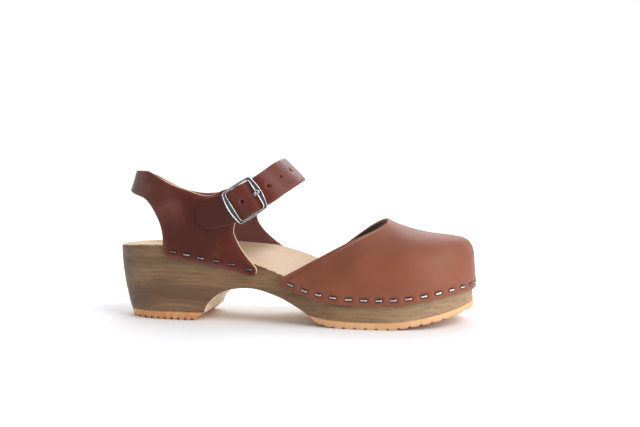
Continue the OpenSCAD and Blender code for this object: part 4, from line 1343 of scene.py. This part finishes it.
def buckle_tab():
    """Thin leather loop: clasps the quarter's tip and holds the bar, notched for the prong."""
    line = np.array([(-16, -1.83), (-11, -1.83), (-6.2, -1.8), (-4.2, -1.1)]
                    + arc(1.72, 0.62, -0.14, 9)
                    + [(0.5, -2.3), (-1.6, -4.3), (-3.9, -5.6), (-6.5, -5.76), (-11, -5.76),
                       (-16, -5.76)])
    ts = even(0, len(line) - 1, 91, lambda t: thru(line, t))
    mid = thru(line, ts)
    s = lengths(mid)
    nrm = unit(np.gradient(mid, axis=0))
    nrm = np.stack([-nrm[:, 1], nrm[:, 0]], 1)
    half, clipped, notch_half, notch_x, end = 8, 0.8, 1.6, -3.1, s[-1]
    notch0 = s[np.argmax(mid[:, 0] > notch_x)]
    notch1 = s[len(s) - 1 - np.argmax(mid[::-1, 0] > notch_x)]
    low, high = clipped, end - clipped
    outline = spaced(np.array([(0, clipped - half), (low, -half), (high, -half),
                               (end, clipped - half), (end, half - clipped), (high, half),
                               (low, half), (0, half - clipped)]), 0.9)
    hole = spaced(np.array([(notch0, -notch_half), (notch1, -notch_half),
                            (notch1, notch_half), (notch0, notch_half)]), 0.7)[::-1]
    flat, faces = sheet2d(outline, [hole], 1.0)

    def place(off):
        x = np.interp(flat[:, 0], s, mid[:, 0]) + np.interp(flat[:, 0], s, nrm[:, 0]) * off
        z = np.interp(flat[:, 0], s, mid[:, 1]) + np.interp(flat[:, 0], s, nrm[:, 1]) * off
        return at_buckle(np.stack([x, flat[:, 1], z], 1))

    half_thick = 0.56
    p, q = place(half_thick), place(-half_thick)
    faces = facing(faces, p, q)
    verts, faces, marks = thick(p, q, faces, 0.3, {"wear_and_sheen": near_edge(faces, p, 2.0)})
    return to_mesh("buckle_keeper_tab", verts, faces, None, marks, BROWN)


rim = buckle_frame()
tongue = buckle_prong()
tab = buckle_tab()
for ob, nd, body, slot in ((rim, "buckle_frame", "buckle", "pewter"),
                           (tongue, "buckle_prong", "prong", "pewter"),
                           (tab, "buckle_tab", "clog", "brown_leather")):
    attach(ob, body)
    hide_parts(nd)
for nd, mat in (("buckle_bar", PEWTER), ("strap_rivets", BRASS), ("strap_rivet_caps", BRASS),
                ("tab_rivets", BRASS), ("tab_rivet_caps", BRASS)):
    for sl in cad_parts[nd].material_slots:
        sl.link = "OBJECT"
        sl.material = mat


# ---------------------------------------------------------------- stage
def white_floor():
    me = bpy.data.meshes.new("floor")
    me.from_pydata([(-4, -3, 0), (4, -3, 0), (4, 4, 0), (-4, 4, 0)], [], [(0, 1, 2, 3)])
    m = Mat("floor_white", Roughness=0.9, Specular_IOR_Level=0.1)
    me.materials.append(m.out(srgb(246, 246, 248)))
    floor = link(bpy.data.objects.new("floor", me))


def studio_walls():
    """A bright wall behind the shoe and a pale skirting all round, a dimmer room in front."""
    world = bpy.data.worlds.new("studio")
    world.use_nodes = True
    bpy.context.scene.world = world
    t = world.node_tree
    where = t.nodes.new("ShaderNodeTexCoord")
    split = t.nodes.new("ShaderNodeSeparateXYZ")
    t.links.new(where.outputs["Generated"], split.inputs[0])
    lighter = t.nodes.new("ShaderNodeMath")
    lighter.operation = "MAXIMUM"
    for i, (axis, values) in enumerate((("Y", (-0.35, 0.2, 0.26, 1.06)),
                                        ("Z", (0.08, 0.3, 1.0, 0.0)))):
        tone = t.nodes.new("ShaderNodeMapRange")
        tone.interpolation_type = "SMOOTHSTEP"
        t.links.new(split.outputs[axis], tone.inputs["Value"])
        for k, v in zip(("From Min", "From Max", "To Min", "To Max"), values):
            tone.inputs[k].default_value = v
        t.links.new(tone.outputs[0], lighter.inputs[i])
    t.links.new(lighter.outputs[0], t.nodes["Background"].inputs["Strength"])
    t.nodes["Background"].inputs["Color"].default_value = (1, 1, 1, 1)


def lamp(name, kind, at, look, power, **more):
    """A light at one place that looks at another."""
    light = bpy.data.lights.new(name, kind)
    light.energy = power
    for k, v in more.items():
        setattr(light, k, v)
    ob = link(bpy.data.objects.new(name, light))
    ob.location = at
    ob.rotation_euler = (Vector(look) - Vector(at)).to_track_quat("-Z", "Y").to_euler()


def camera(at, look, lens):
    cam = bpy.data.cameras.new("camera")
    cam.lens, cam.sensor_width = lens, 36.0
    cam.clip_start, cam.clip_end = 0.01, 20
    ob = link(bpy.data.objects.new("camera", cam))
    ob.location = at
    ob.rotation_mode = "QUATERNION"
    ob.rotation_quaternion = (Vector(look) - ob.location).to_track_quat("-Z", "Y")
    bpy.context.scene.camera = ob


white_floor()
studio_walls()
lamp("key", "SUN", (1.25, -0.62, 1.25), (0, 0, 0.05), 2.15, angle=math.radians(45))
lamp("low", "AREA", (0.75, -0.5, 0.09), (0.0, 0, 0.01), 2.2, shape="RECTANGLE", size=0.5,
     size_y=0.25)
lamp("rim", "AREA", (-0.1, 0.9, 0.75), (0, 0, 0.07), 6.0, shape="RECTANGLE", size=1.2,
     size_y=0.5)
camera((0.1004, -0.5926, 0.1012), (0.01713, 0.00093, 0.07353), 47.58)
bpy.context.scene.view_settings.view_transform = "Standard"
